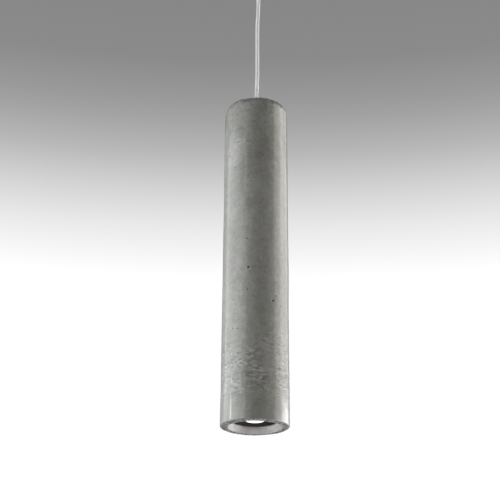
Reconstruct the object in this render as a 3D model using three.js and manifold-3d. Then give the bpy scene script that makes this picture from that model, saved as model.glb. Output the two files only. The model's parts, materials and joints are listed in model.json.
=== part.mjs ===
// Pendant ceiling light: a cast concrete tube on a clear twin-core cord, with a GU10 lamp in its mouth.
// Millimetres, +Z up. The origin is the middle of the ceiling bracket's top face, which lies on the
// ceiling, so everything hangs below z = 0.

import * as THREE from 'three';
import { mergeVertices } from 'three/addons/utils/BufferGeometryUtils.js';
import Module from 'manifold-3d';

const wasm = await Module();
wasm.setup();

// ---------------------------------------------------------------- driving dimensions

const BODY_RADIUS = 38.5;
const BODY_LENGTH = 400;
const CANOPY_RADIUS = 50;
const CANOPY_HEIGHT = 26;
const CANOPY_TO_BODY = 220;
const CORD_RADIUS = 2.3;
const LAMP_RADIUS = 24.7;
const LAMP_LENGTH = 50;
const LAMP_RECESS = 7;
const TOUCH_GAP = 0.3;
const TWIST_DEG = 45;

// heights that follow from them
const CANOPY_UNDERSIDE = -CANOPY_HEIGHT;
const BODY_TOP = CANOPY_UNDERSIDE - CANOPY_TO_BODY;
const BODY_BOTTOM = BODY_TOP - BODY_LENGTH;
const LAMP_FACE = BODY_BOTTOM + LAMP_RECESS;
const LAMP_TOP = LAMP_FACE + LAMP_LENGTH;

// canopy cup and ceiling bracket
const CUP_WALL = 1;
const CUP_CORNER = 5;
const THREAD_RADIUS = 4.9;
const THREAD_HOLE = 5.3;
const STRAP_WIDTH = 20;
const STRAP_THICKNESS = 1.5;
const STRAP_HALF = 46.7;
const STRAP_BEND = 2.5;
const TAB_LENGTH = 16;
const SIDE_SCREW_DEPTH = 9;
const SIDE_SCREW_RADIUS = 2;
const SIDE_SCREW_HOLE = 2.35;
const SLOT_OFFSET = 34.5;
const SLOT_LENGTH = 11;
const SLOT_WIDTH = 5;

// cord grips: the same fitting, below the canopy and on top of the concrete
const GRIP_FLANGE_RADIUS = 8;
const GRIP_FLANGE = 2.5;
const GRIP_NECK_RADIUS = 6;
const GRIP_TIP_RADIUS = 4.6;
const GRIP_TAPER = 4;
const GRIP_BORE = 2.7;
const GRIP_MOUTH = 3.5;
const GRIP_MOUTH_DEPTH = 2.5;
const GRUB_RADIUS = 1.5;
const GRUB_HOLE = 1.85;
const GRUB_BELOW_CANOPY_TIP = 9;
const GRUB_BELOW_TOP_TIP = 5;
const GRUB_SLOT = { depth: 0.8, half: 0.3 };
const SPIGOT_HEIGHT = 7.5;
const CANOPY_GRIP_TIP = CANOPY_UNDERSIDE - 18;
const TOP_GRIP_TIP = BODY_TOP + 17;
const TOP_GRIP_SEAT = BODY_TOP + 2.1;

// nylon stop on the cord's tail, and the tail's end
const STOP = { low: CANOPY_UNDERSIDE + 7.8, high: CANOPY_UNDERSIDE + 13.3, radius: 5.5 };
const STOP_SCREW_Z = (STOP.low + STOP.high) / 2;
const STOP_SCREW = { shank: 1.2, head: 2.2, stand: 1.8, slot: 0.7 };
const TAIL_TOP = CANOPY_UNDERSIDE + 15.5;

// terminal block
const BLOCK = { x: 19.5, top: -1.8, length: 15, width: 22, height: 12 };
const POLE_OFFSET = 5.5;
const POLE_HEIGHT = -7.3;
const POLE_SCREW_OFFSET = 3.5;
const POLE_BORE = 2.6;
const CLAMP_RADIUS = 2.3;
const CLAMP_BORE = 1.5;
const SCREW_WELL = 1.6;
const POLE_SCREW_RADIUS = 1.3;
const BLOCK_SCREW_WELL = 3.2;
const BLOCK_SCREW_HEAD = 2.7;
const LEAD_RADIUS = 1;
const LEAD_SPREAD = 1.3;
const LEAD_SIDES = 8;
const LEAD_STEP = 2.2;

// concrete body, stem and lamp bridge
const BORE_RADIUS = 25.75;
const MOUTH_RADIUS = 29.7;
const MOUTH_DEPTH = 6.8;
const TOP_SLAB = 20;
const TOP_EDGE = 1.2;
const BOTTOM_EDGE = 0.6;
const STEM_BORE = 3.7;
const STEM_TOP = TOP_GRIP_TIP - 7.5;
const STEM_BOTTOM = BODY_TOP - 314;
const INNER_CORD_END = STEM_BOTTOM - 3;
const NUT = { large: 17, height: 5, lockHeight: 6, canopy: 14, canopyHeight: 4, bore: THREAD_HOLE - 0.1 };
const BRIDGE = { top: BODY_TOP - 306, half: 17, sheet: 1.5, width: 18, foot: 8 };

// lamp holder and lamp pins
const HOLDER_BOTTOM = LAMP_TOP + TOUCH_GAP;
const HOLDER_HEIGHT = 18;
const HOLDER_TOP = HOLDER_BOTTOM + HOLDER_HEIGHT;
const HOLDER_HALF = 16;
const HOLDER_ROUND = 9;
const HOLDER_SCREW_X = 12;
const PIN_SPACING = 10;
const PIN_RADIUS = 1.35;
const PIN_HEAD_RADIUS = 2.4;
const PIN_HEAD = 2.1;
const PIN_TOP = LAMP_TOP + 7.5;
const PIN_CLEARANCE = 0.35;
const M3_RADIUS = 1.5;
const M3_HOLE = 1.8;
const HEAD_FLOOR = PIN_TOP - PIN_HEAD - 1.3;
const HEAD_CEILING = PIN_TOP + 1.7;
const HOLDER_WELL = { radius: 3, depth: 3.2 };
const HOLDER_SCREW_HEAD = { radius: 2.6, height: 2.2, lift: 0.6 };
const CONTACT = { disc: 2.3, height: 0.6, post: 1, postHole: 1.5 };

// lamp
const SHELL_LOW = LAMP_FACE + 5.1;
const SHELL_HIGH = LAMP_TOP - 11.3;
const SHELL_WALL = 1.5;
const BASE_RADIUS = 9.8;
const LENS_RADIUS = 11;
const BEZEL_DISH = 0.8;
const BEZEL_SHEET = 1.2;
const BOARD = { radius: 14, low: LAMP_FACE + 9, height: 1.5 };

// the cord's route from the canopy grip down to the grip on the concrete: a gentle wave
const CORD_ROUTE = [
  [0, 0, CANOPY_GRIP_TIP - TOUCH_GAP],
  [0.1, 0, -48],
  [0.5, 0, -54],
  [1.4, 0, -62],
  [2.1, 0, -73],
  [1.9, 0, -86],
  [1.3, 0, -100],
  [0.9, 0, -116],
  [0.8, 0, -135],
  [0.9, 0, -155],
  [1.0, 0, -175],
  [0.9, 0, -193],
  [0.6, 0, -208],
  [0.2, 0, -219],
  [0, 0, -225],
  [0, 0, TOP_GRIP_TIP + TOUCH_GAP],
];
const CORD_BEND_LENGTH = 10;
const CORD_STEP = 11;
const CORD_SIDES = 10;

// ---------------------------------------------------------------- materials

function finish(color, roughness, metalness) {
  return () => new THREE.MeshStandardMaterial({ color, roughness, metalness });
}

const concrete = finish(0x9b9a94, 0.62, 0);
const satinNickel = finish(0xb9b8b4, 0.35, 0.9);
const zincSteel = finish(0xa9abad, 0.45, 0.85);
const brass = finish(0xb8924a, 0.35, 0.9);
const nylon = finish(0xe7e5df, 0.55, 0);
const ceramic = finish(0xece8de, 0.5, 0);
const clearCord = finish(0xc9c9c6, 0.3, 0);
const brownWire = finish(0x6b4630, 0.5, 0);
const blueWire = finish(0x2f5b93, 0.5, 0);
const lampAluminium = finish(0x8b8d8f, 0.4, 0.8);
const darkBezel = finish(0x2b2a29, 0.5, 0.1);
const frostedLens = finish(0xfffaf0, 0.4, 0);
const boardWhite = finish(0xf0f0ea, 0.6, 0);

// ---------------------------------------------------------------- shape helpers

const MERGE_TOLERANCE = 1e-4;

/** Welds shared corners, drops flat slivers and turns the faces outwards. */
function closed(geometry) {
  const bare = geometry.clone();
  bare.deleteAttribute('normal');
  bare.deleteAttribute('uv');
  const welded = mergeVertices(bare, MERGE_TOLERANCE);
  const corner = (i) => new THREE.Vector3().fromBufferAttribute(welded.attributes.position, i);
  const source = welded.index.array;
  const triangles = [];
  let volume = 0;
  for (let i = 0; i < source.length; i += 3) {
    const [a, b, c] = [source[i], source[i + 1], source[i + 2]];
    if (a === b || b === c || c === a) continue;
    triangles.push([a, b, c]);
    volume += corner(a).dot(corner(b).cross(corner(c)));
  }
  const index = triangles.flatMap(([a, b, c]) => (volume < 0 ? [a, c, b] : [a, b, c]));
  const result = new THREE.BufferGeometry();
  result.setAttribute('position', welded.attributes.position);
  result.setIndex(index);
  return result;
}

function toSolid(geometry) {
  const shell = closed(geometry);
  const vertProperties = new Float32Array(shell.attributes.position.array);
  const triVerts = new Uint32Array(shell.index.array);
  return new wasm.Manifold(new wasm.Mesh({ numProp: 3, vertProperties, triVerts }));
}

function toGeometry(solid) {
  const mesh = solid.getMesh();
  const geometry = new THREE.BufferGeometry();
  geometry.setAttribute('position', new THREE.BufferAttribute(mesh.vertProperties, mesh.numProp));
  geometry.setIndex(new THREE.BufferAttribute(mesh.triVerts, 1));
  return geometry;
}

function cut(geometry, cutters) {
  let solid = toSolid(geometry);
  for (const cutter of cutters) solid = solid.subtract(toSolid(cutter));
  return toGeometry(solid);
}

function join(geometries) {
  let solid = toSolid(geometries[0]);
  for (const other of geometries.slice(1)) solid = solid.add(toSolid(other));
  return toGeometry(solid);
}

/** Turns a profile of [radius, height] points, closed on itself or ending on the axis, about Z. */
function turned(profile, segments = 24) {
  const points = profile.map(([r, z]) => new THREE.Vector2(r, z));
  const geometry = new THREE.LatheGeometry(points, segments);
  geometry.rotateX(Math.PI / 2);
  return closed(geometry);
}

/** A turned ring: profile points in order, closed back to the first one. */
function turnedRing(profile, segments = 24) {
  return turned([...profile, profile[0]], segments);
}

function ring(inner, outer, low, high, segments = 24) {
  return turnedRing([[inner, low], [outer, low], [outer, high], [inner, high]], segments);
}

function disc(radius, low, high, segments = 20) {
  return turned([[0, low], [radius, low], [radius, high], [0, high]], segments);
}

function block(lowX, highX, lowY, highY, lowZ, highZ) {
  const geometry = new THREE.BoxGeometry(highX - lowX, highY - lowY, highZ - lowZ);
  geometry.translate((lowX + highX) / 2, (lowY + highY) / 2, (lowZ + highZ) / 2);
  return geometry;
}

/** A round bar along X, from lowX to highX. */
function barX(radius, lowX, highX, y, z, segments = 14) {
  const geometry = disc(radius, lowX, highX, segments);
  geometry.rotateY(Math.PI / 2);
  geometry.translate(0, y, z);
  return geometry;
}

/** A round bar along Y, from lowY to highY. */
function barY(radius, lowY, highY, x, z, segments = 14) {
  const geometry = disc(radius, lowY, highY, segments);
  geometry.rotateX(-Math.PI / 2);
  geometry.translate(x, 0, z);
  return geometry;
}

function barZ(radius, low, high, x, y, segments = 14) {
  const geometry = disc(radius, low, high, segments);
  geometry.translate(x, y, 0);
  return geometry;
}

/** A flat outline in X and Z, given Y thickness about y = 0. */
function sheetAlongY(outline, width) {
  const shape = new THREE.Shape(outline.map(([x, z]) => new THREE.Vector2(x, z)));
  const geometry = new THREE.ExtrudeGeometry(shape, { depth: width, bevelEnabled: false });
  geometry.translate(0, 0, -width / 2);
  geometry.rotateX(Math.PI / 2);
  return closed(geometry);
}

/** A flat outline in X and Y, raised from low to high. */
function raised(shape, low, high, curveSegments = 8) {
  const geometry = new THREE.ExtrudeGeometry(shape, {
    depth: high - low, bevelEnabled: false, curveSegments,
  });
  geometry.translate(0, 0, low);
  return closed(geometry);
}

function arcPoints(centreX, centreY, radius, fromDeg, toDeg, steps) {
  const points = [];
  for (let i = 0; i <= steps; i += 1) {
    const angle = THREE.MathUtils.degToRad(fromDeg + ((toDeg - fromDeg) * i) / steps);
    points.push([centreX + radius * Math.cos(angle), centreY + radius * Math.sin(angle)]);
  }
  return points;
}

function hexNut(acrossFlats, bore, low, high) {
  const corner = acrossFlats / Math.sqrt(3);
  const hexagon = new THREE.Shape(
    arcPoints(0, 0, corner, 0, 300, 5).map(([x, y]) => new THREE.Vector2(x, y)),
  );
  const hole = new THREE.Path();
  hole.absarc(0, 0, bore, 0, Math.PI * 2, true);
  hexagon.holes.push(hole);
  return raised(hexagon, low, high, 12);
}

/** A tube of the given radius along a list of points, smoothed through them. */
function tubeThrough(points, radius, sides, stepLength) {
  const curve = new THREE.CatmullRomCurve3(points.map((p) => new THREE.Vector3(...p)));
  const section = new THREE.Shape(
    arcPoints(0, 0, radius, 0, 360 - 360 / sides, sides - 1).map(([x, y]) => new THREE.Vector2(x, y)),
  );
  const steps = Math.max(2, Math.ceil(curve.getLength() / stepLength));
  return closed(new THREE.ExtrudeGeometry(section, { steps, extrudePath: curve, bevelEnabled: false }));
}

// ---------------------------------------------------------------- assembly helper

const pendantLight = new THREE.Group();

function addPart(name, geometry, material, parent = pendantLight) {
  geometry.computeVertexNormals();
  const mesh = new THREE.Mesh(geometry, material());
  mesh.name = name;
  parent.add(mesh);
  return mesh;
}

// ---------------------------------------------------------------- ceiling bracket and canopy

/** A strap with its ends bent down, slotted for the ceiling screws, tapped for the side screws. */
function ceilingBracket() {
  const inner = STRAP_HALF - STRAP_THICKNESS;
  const innerBend = STRAP_BEND - STRAP_THICKNESS;
  const outline = [
    [STRAP_HALF, -TAB_LENGTH],
    ...arcPoints(STRAP_HALF - STRAP_BEND, -STRAP_BEND, STRAP_BEND, 0, 90, 4),
    ...arcPoints(STRAP_BEND - STRAP_HALF, -STRAP_BEND, STRAP_BEND, 90, 180, 4),
    [-STRAP_HALF, -TAB_LENGTH],
    [-inner, -TAB_LENGTH],
    ...arcPoints(innerBend - inner, -STRAP_BEND, innerBend, 180, 90, 3),
    ...arcPoints(inner - innerBend, -STRAP_BEND, innerBend, 90, 0, 3),
    [inner, -TAB_LENGTH],
  ];
  const cutters = [
    barX(SIDE_SCREW_HOLE, -STRAP_HALF - 1, STRAP_HALF + 1, 0, -SIDE_SCREW_DEPTH),
    barZ(M3_HOLE, -STRAP_THICKNESS - 1, 1, BLOCK.x, 0),
    fixingSlot(SLOT_OFFSET),
    fixingSlot(-SLOT_OFFSET),
  ];
  return cut(sheetAlongY(outline, STRAP_WIDTH), cutters);
}

function fixingSlot(x) {
  const reach = (SLOT_LENGTH - SLOT_WIDTH) / 2;
  const slot = new THREE.Shape();
  slot.absarc(reach, 0, SLOT_WIDTH / 2, -Math.PI / 2, Math.PI / 2, false);
  slot.absarc(-reach, 0, SLOT_WIDTH / 2, Math.PI / 2, Math.PI * 1.5, false);
  const geometry = raised(slot, -STRAP_THICKNESS - 1, 1);
  geometry.translate(x, 0, 0);
  return geometry;
}

/** A spun cup, open at the ceiling, with a notch in its rim for each side screw. */
function canopyCup() {
  const inner = CANOPY_RADIUS - CUP_WALL;
  const flat = CANOPY_RADIUS - CUP_CORNER;
  const bend = CANOPY_UNDERSIDE + CUP_CORNER;
  const cup = turnedRing([
    [THREAD_HOLE, CANOPY_UNDERSIDE],
    ...arcPoints(flat, bend, CUP_CORNER, -90, 0, 4),
    [CANOPY_RADIUS, 0],
    [inner, 0],
    ...arcPoints(flat, bend, CUP_CORNER - CUP_WALL, 0, -90, 3),
    [THREAD_HOLE, CANOPY_UNDERSIDE + CUP_WALL],
  ], 48);
  const notches = [-1, 1].map((side) => rimNotch(side));
  return cut(cup, notches);
}

function rimNotch(side) {
  const half = SIDE_SCREW_HOLE;
  const reach = [side * (CANOPY_RADIUS - 3), side * (CANOPY_RADIUS + 1)].sort((a, b) => a - b);
  const channel = block(reach[0], reach[1], -half, half, -SIDE_SCREW_DEPTH, 1);
  return join([channel, barX(half, reach[0], reach[1], 0, -SIDE_SCREW_DEPTH)]);
}

/** A knurled thumb screw along +Z: the head's inner face is at z = 0 and the shank points down. */
function thumbScrew() {
  const knurls = 16;
  const headRadius = 4.5;
  const knurlDepth = 0.35;
  const headHeight = 5;
  const shankLength = 8;
  const points = [];
  for (let i = 0; i < knurls * 2; i += 1) {
    const angle = (Math.PI * i) / knurls;
    const radius = headRadius - (i % 2) * knurlDepth;
    points.push(new THREE.Vector2(radius * Math.cos(angle), radius * Math.sin(angle)));
  }
  const head = raised(new THREE.Shape(points), 0, headHeight);
  return join([head, disc(SIDE_SCREW_RADIUS, -shankLength, headHeight / 2, 14)]);
}

/** The outer skin and bore that both cord grips share, tip at the low end of the profile. */
function gripProfile(tip, flangeFace, direction) {
  const at = (distance) => tip + direction * distance;
  return [
    [GRIP_BORE, at(GRIP_MOUTH_DEPTH)],
    [GRIP_MOUTH, tip],
    [GRIP_TIP_RADIUS, tip],
    [GRIP_NECK_RADIUS, at(GRIP_TAPER)],
    [GRIP_NECK_RADIUS, flangeFace - direction * GRIP_FLANGE],
    [GRIP_FLANGE_RADIUS, flangeFace - direction * GRIP_FLANGE],
    [GRIP_FLANGE_RADIUS, flangeFace],
  ];
}

/** The canopy's cord grip: a threaded spigot above its flange, and a radial hole for its grub screw. */
function canopyGland() {
  const flangeFace = CANOPY_UNDERSIDE - TOUCH_GAP;
  const spigotTop = CANOPY_UNDERSIDE + SPIGOT_HEIGHT;
  const profile = [
    ...gripProfile(CANOPY_GRIP_TIP, flangeFace, 1),
    [THREAD_RADIUS, flangeFace],
    [THREAD_RADIUS, spigotTop],
    [GRIP_BORE, spigotTop],
  ];
  const hole = barY(GRUB_HOLE, 0, GRIP_FLANGE_RADIUS, 0, CANOPY_GRIP_TIP + GRUB_BELOW_CANOPY_TIP);
  return cut(turnedRing(profile), [hole]);
}

/** The concrete's cord grip, upside down to the canopy's, with a socket that takes the stem. */
function topCordGrip() {
  const profile = [
    ...gripProfile(TOP_GRIP_TIP, TOP_GRIP_SEAT, -1),
    [NUT.bore, TOP_GRIP_SEAT],
    [NUT.bore, STEM_TOP + TOUCH_GAP],
    [GRIP_BORE, STEM_TOP + TOUCH_GAP],
  ];
  const hole = barY(GRUB_HOLE, 0, GRIP_FLANGE_RADIUS, 0, TOP_GRIP_TIP - GRUB_BELOW_TOP_TIP);
  return cut(turnedRing(profile), [hole]);
}

/** A slotted grub screw along Y, its tip just clear of the cord. */
function grubScrew(z) {
  const end = GRIP_NECK_RADIUS - 0.2;
  const body = barY(GRUB_RADIUS, GRIP_BORE, end, 0, z);
  const { depth, half } = GRUB_SLOT;
  return cut(body, [block(-GRUB_RADIUS, GRUB_RADIUS, end - depth, end + 1, z - half, z + half)]);
}

/** A nylon collar clamped on the cord above the gland: it carries the pendant's weight. */
function cordStop() {
  const collar = ring(CORD_RADIUS + TOUCH_GAP, STOP.radius, STOP.low, STOP.high);
  return cut(collar, [barY(M3_RADIUS, 0, STOP.radius + 1, 0, STOP_SCREW_Z)]);
}

function cordStopScrew() {
  const end = STOP.radius + STOP_SCREW.stand;
  const shank = barY(STOP_SCREW.shank, CORD_RADIUS + TOUCH_GAP, STOP.radius + 1, 0, STOP_SCREW_Z);
  const head = barY(STOP_SCREW.head, STOP.radius + TOUCH_GAP, end, 0, STOP_SCREW_Z);
  const slot = block(-3, 3, end - STOP_SCREW.slot, end + 1, STOP_SCREW_Z - 0.3, STOP_SCREW_Z + 0.3);
  return cut(join([shank, head]), [slot]);
}

// ---------------------------------------------------------------- terminal block

function poleSides() {
  return [['live', 1], ['neutral', -1]];
}

/** A two-pole block: a wire bore per pole, two screw wells per pole and one fixing hole. */
function terminalBlock() {
  const low = BLOCK.top - BLOCK.height;
  const half = BLOCK.length / 2;
  const body = block(BLOCK.x - half, BLOCK.x + half, -BLOCK.width / 2, BLOCK.width / 2, low, BLOCK.top);
  const cutters = [
    barZ(M3_HOLE, low - 1, BLOCK.top + 1, BLOCK.x, 0),
    barZ(BLOCK_SCREW_WELL, low - 1, low + 2.5, BLOCK.x, 0),
  ];
  for (const [, side] of poleSides()) {
    cutters.push(
      barX(POLE_BORE, BLOCK.x - half - 1, BLOCK.x + half + 1, side * POLE_OFFSET, POLE_HEIGHT),
    );
    for (const end of [-1, 1]) {
      const x = BLOCK.x + end * POLE_SCREW_OFFSET;
      cutters.push(barZ(SCREW_WELL, low - 1, POLE_HEIGHT, x, side * POLE_OFFSET));
    }
  }
  return cut(body, cutters);
}

/** A brass tube in each pole, drilled from below for its two clamping screws. */
function terminalClamp(side) {
  const half = BLOCK.length / 2 - 1;
  const tube = barX(CLAMP_RADIUS, BLOCK.x - half, BLOCK.x + half, side * POLE_OFFSET, POLE_HEIGHT);
  const wireWay = barX(
    CLAMP_BORE, BLOCK.x - half - 1, BLOCK.x + half + 1, side * POLE_OFFSET, POLE_HEIGHT,
  );
  const wells = [-1, 1].map((end) => (
    barZ(
      SCREW_WELL, POLE_HEIGHT - 4, POLE_HEIGHT, BLOCK.x + end * POLE_SCREW_OFFSET, side * POLE_OFFSET,
    )
  ));
  return cut(tube, [wireWay, ...wells]);
}

function terminalScrew(x, y) {
  const low = BLOCK.top - BLOCK.height + 0.6;
  const high = POLE_HEIGHT - LEAD_RADIUS - 0.4;
  const slot = block(x - 2, x + 2, y - 0.3, y + 0.3, low - 1, low + 0.8);
  return cut(barZ(POLE_SCREW_RADIUS, low, high, x, y), [slot]);
}

function blockScrew() {
  const low = BLOCK.top - BLOCK.height + 0.4;
  const head = barZ(BLOCK_SCREW_HEAD, low, low + 1.8, BLOCK.x, 0);
  const shank = barZ(M3_RADIUS, low, -0.4, BLOCK.x, 0);
  return cut(join([head, shank]), [block(BLOCK.x - 3, BLOCK.x + 3, -0.4, 0.4, low - 1, low + 0.9)]);
}

/** An insulated core from the cord's tail, over and into its pole of the block. */
function canopyLead(side) {
  const start = TAIL_TOP + TOUCH_GAP;
  const entry = BLOCK.x - BLOCK.length / 2;
  return tubeThrough([
    [0, side * LEAD_SPREAD, start],
    [0.8, side * 1.5, start + 2.4],
    [3.6, side * 3, start + 4.6],
    [7.4, side * 4.9, start + 4],
    [entry - 1, side * POLE_OFFSET, POLE_HEIGHT],
    [entry + 3.5, side * POLE_OFFSET, POLE_HEIGHT],
  ], LEAD_RADIUS, LEAD_SIDES, LEAD_STEP);
}

// ---------------------------------------------------------------- cord

/** The free cord in two stretches: the short one that flexes at the canopy grip, and the rest. */
function cordStretches() {
  const route = new THREE.CatmullRomCurve3(CORD_ROUTE.map((p) => new THREE.Vector3(...p)));
  const length = route.getLength();
  const stretch = (from, to) => {
    const count = Math.max(3, Math.round((to - from) / CORD_STEP));
    const points = [];
    for (let i = 0; i <= count; i += 1) {
      points.push(route.getPointAt((from + ((to - from) * i) / count) / length).toArray());
    }
    return tubeThrough(points, CORD_RADIUS, CORD_SIDES, CORD_STEP);
  };
  return [stretch(0, CORD_BEND_LENGTH), stretch(CORD_BEND_LENGTH + TOUCH_GAP, length)];
}

// ---------------------------------------------------------------- concrete body and stem

/** The casting: a round bore with a slab over it, drilled for the stem, and a flared mouth. */
function concreteBody() {
  const slabUnder = BODY_TOP - TOP_SLAB;
  return turnedRing([
    [MOUTH_RADIUS, BODY_BOTTOM],
    [BODY_RADIUS - BOTTOM_EDGE, BODY_BOTTOM],
    [BODY_RADIUS, BODY_BOTTOM + BOTTOM_EDGE],
    [BODY_RADIUS, BODY_TOP - TOP_EDGE],
    [BODY_RADIUS - TOP_EDGE, BODY_TOP],
    [THREAD_HOLE, BODY_TOP],
    [THREAD_HOLE, slabUnder],
    [BORE_RADIUS, slabUnder],
    [BORE_RADIUS, BODY_BOTTOM + MOUTH_DEPTH],
  ], 64);
}

/** A folded steel strap: web on the stem, legs down, feet turned in under the holder screws. */
function holderBridge() {
  const inner = BRIDGE.half - BRIDGE.sheet;
  const webUnder = BRIDGE.top - BRIDGE.sheet;
  const footLow = HOLDER_TOP + TOUCH_GAP;
  const footHigh = footLow + BRIDGE.sheet;
  const right = [
    [BRIDGE.foot, footHigh],
    [BRIDGE.foot, footLow],
    [BRIDGE.half, footLow],
    [BRIDGE.half, BRIDGE.top],
  ];
  const mirrored = right.map(([x, z]) => [-x, z]).reverse();
  const outline = [
    ...right,
    ...mirrored,
    [-inner, footHigh],
    [-inner, webUnder],
    [inner, webUnder],
    [inner, footHigh],
  ];
  const cutters = [barZ(THREAD_HOLE, webUnder - 1, BRIDGE.top + 1, 0, 0)];
  for (const side of [-1, 1]) {
    cutters.push(barZ(M3_HOLE, footLow - 1, footHigh + 1, side * HOLDER_SCREW_X, 0));
  }
  return cut(sheetAlongY(outline, BRIDGE.width), cutters);
}

// ---------------------------------------------------------------- lamp holder

/** A curved slot about the lamp's axis, from the locked pin to the entry, with round ends. */
function arcSlot(startDeg, halfWidth, low, high) {
  const pinCircle = PIN_SPACING / 2;
  const endDeg = startDeg + TWIST_DEG;
  const ends = [startDeg, endDeg].map((deg) => arcPoints(0, 0, pinCircle, deg, deg, 1)[0]);
  const outline = [
    ...arcPoints(0, 0, pinCircle + halfWidth, startDeg, endDeg, 6),
    ...arcPoints(ends[1][0], ends[1][1], halfWidth, endDeg, endDeg + 180, 6).slice(1, -1),
    ...arcPoints(0, 0, pinCircle - halfWidth, endDeg, startDeg, 6),
    ...arcPoints(ends[0][0], ends[0][1], halfWidth, startDeg + 180, startDeg + 360, 6).slice(1, -1),
  ];
  return raised(new THREE.Shape(outline.map(([x, y]) => new THREE.Vector2(x, y))), low, high);
}

/** The ceramic holder: bayonet slots for the two pins, contact wells, screw holes. */
function lampHolder() {
  const outline = new THREE.Shape();
  const reach = HOLDER_HALF - HOLDER_ROUND;
  outline.absarc(reach, 0, HOLDER_ROUND, -Math.PI / 2, Math.PI / 2, false);
  outline.absarc(-reach, 0, HOLDER_ROUND, Math.PI / 2, Math.PI * 1.5, false);
  const cutters = [];
  for (const side of [-1, 1]) {
    const lockedDeg = side > 0 ? 0 : 180;
    const entry = arcPoints(0, 0, PIN_SPACING / 2, lockedDeg + TWIST_DEG, lockedDeg + TWIST_DEG, 1)[0];
    const headHole = PIN_HEAD_RADIUS + PIN_CLEARANCE;
    cutters.push(arcSlot(lockedDeg, PIN_RADIUS + PIN_CLEARANCE, HOLDER_BOTTOM - 1, HEAD_FLOOR + 1));
    cutters.push(arcSlot(lockedDeg, headHole, HEAD_FLOOR, HEAD_CEILING));
    cutters.push(barZ(headHole, HOLDER_BOTTOM - 1, HEAD_FLOOR + 1, entry[0], entry[1]));
    cutters.push(barZ(CONTACT.postHole, HEAD_CEILING - 1, HOLDER_TOP + 1, side * (PIN_SPACING / 2), 0));
    cutters.push(barZ(M3_HOLE, HOLDER_BOTTOM - 1, HOLDER_TOP + 1, side * HOLDER_SCREW_X, 0));
    const wellTop = HOLDER_BOTTOM + HOLDER_WELL.depth;
    cutters.push(barZ(HOLDER_WELL.radius, HOLDER_BOTTOM - 1, wellTop, side * HOLDER_SCREW_X, 0));
  }
  return cut(raised(outline, HOLDER_BOTTOM, HOLDER_TOP, 10), cutters);
}

/** A sprung contact over one pin head, with a post up to its lead. */
function contact(side) {
  const x = (side * PIN_SPACING) / 2;
  const low = PIN_TOP + TOUCH_GAP;
  return join([
    barZ(CONTACT.disc, low, low + CONTACT.height, x, 0),
    barZ(CONTACT.post, low, HOLDER_TOP - 2.3, x, 0, 10),
  ]);
}

function holderScrew(side) {
  const x = side * HOLDER_SCREW_X;
  const headLow = HOLDER_BOTTOM + HOLDER_SCREW_HEAD.lift;
  const body = join([
    barZ(HOLDER_SCREW_HEAD.radius, headLow, headLow + HOLDER_SCREW_HEAD.height, x, 0),
    barZ(M3_RADIUS, headLow, HOLDER_TOP + 4.5, x, 0),
  ]);
  return cut(body, [block(x - 3, x + 3, -0.4, 0.4, headLow - 1, headLow + 0.9)]);
}

/** A core from the cord's lower end down into the holder. */
function holderLead(side) {
  const start = INNER_CORD_END - TOUCH_GAP;
  return tubeThrough([
    [0, side * LEAD_SPREAD, start],
    [side * 0.9, side * 1.1, start - 2],
    [side * 3.6, side * 0.5, start - 4.6],
    [(side * PIN_SPACING) / 2, 0, HOLDER_TOP],
    [(side * PIN_SPACING) / 2, 0, HOLDER_TOP - 2],
  ], LEAD_RADIUS, LEAD_SIDES, LEAD_STEP);
}

// ---------------------------------------------------------------- lamp

/** The aluminium shell: straight at the face, tapering back to the base. */
function lampBody() {
  const neck = 15.5;
  const outer = [
    [LAMP_RADIUS, SHELL_LOW],
    [LAMP_RADIUS - 0.3, SHELL_LOW + 6],
    [21.9, SHELL_LOW + 14],
    [18.6, SHELL_LOW + 22],
    [neck, SHELL_LOW + 30],
    [neck, SHELL_HIGH],
  ];
  const inner = [
    [neck - SHELL_WALL, SHELL_HIGH - SHELL_WALL],
    [neck - SHELL_WALL, SHELL_LOW + 29.6],
    [17.1, SHELL_LOW + 21.6],
    [20.4, SHELL_LOW + 13.6],
    [LAMP_RADIUS - 1.8, SHELL_LOW + 5.8],
    [LAMP_RADIUS - SHELL_WALL, SHELL_LOW],
  ];
  const collar = [[9, SHELL_HIGH], [9, SHELL_HIGH - SHELL_WALL]];
  return turnedRing([...outer, ...collar, ...inner], 36);
}

/** The insulated base with its spigot in the shell and a socket for each pin. */
function lampBase() {
  const flange = SHELL_HIGH + TOUCH_GAP;
  const body = turned([
    [0, flange - 4],
    [8.7, flange - 4],
    [8.7, flange],
    [13, flange],
    [13, flange + 3],
    [BASE_RADIUS, flange + 7.5],
    [BASE_RADIUS, LAMP_TOP],
    [0, LAMP_TOP],
  ], 36);
  const sockets = [-1, 1].map((side) => (
    barZ(PIN_RADIUS + TOUCH_GAP, LAMP_TOP - 4, LAMP_TOP + 1, (side * PIN_SPACING) / 2, 0)
  ));
  return cut(body, sockets);
}

function lampPin(side) {
  const x = (side * PIN_SPACING) / 2;
  return join([
    barZ(PIN_RADIUS, LAMP_TOP - 3.6, PIN_TOP, x, 0),
    barZ(PIN_HEAD_RADIUS, PIN_TOP - PIN_HEAD, PIN_TOP, x, 0),
  ]);
}

/** The dark front ring: a rim round a face that dishes in a little to the lens. */
function lampBezel() {
  const rimTop = SHELL_LOW - TOUCH_GAP;
  const rimInside = LAMP_RADIUS - 1.3;
  const lensEdge = LENS_RADIUS + 0.4;
  return turnedRing([
    [LAMP_RADIUS - 0.5, LAMP_FACE],
    [LAMP_RADIUS, LAMP_FACE + 0.5],
    [LAMP_RADIUS, rimTop],
    [rimInside, rimTop],
    [rimInside, LAMP_FACE + BEZEL_SHEET],
    [lensEdge, LAMP_FACE + BEZEL_DISH + BEZEL_SHEET],
    [lensEdge, LAMP_FACE + BEZEL_DISH],
  ], 40);
}

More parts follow.
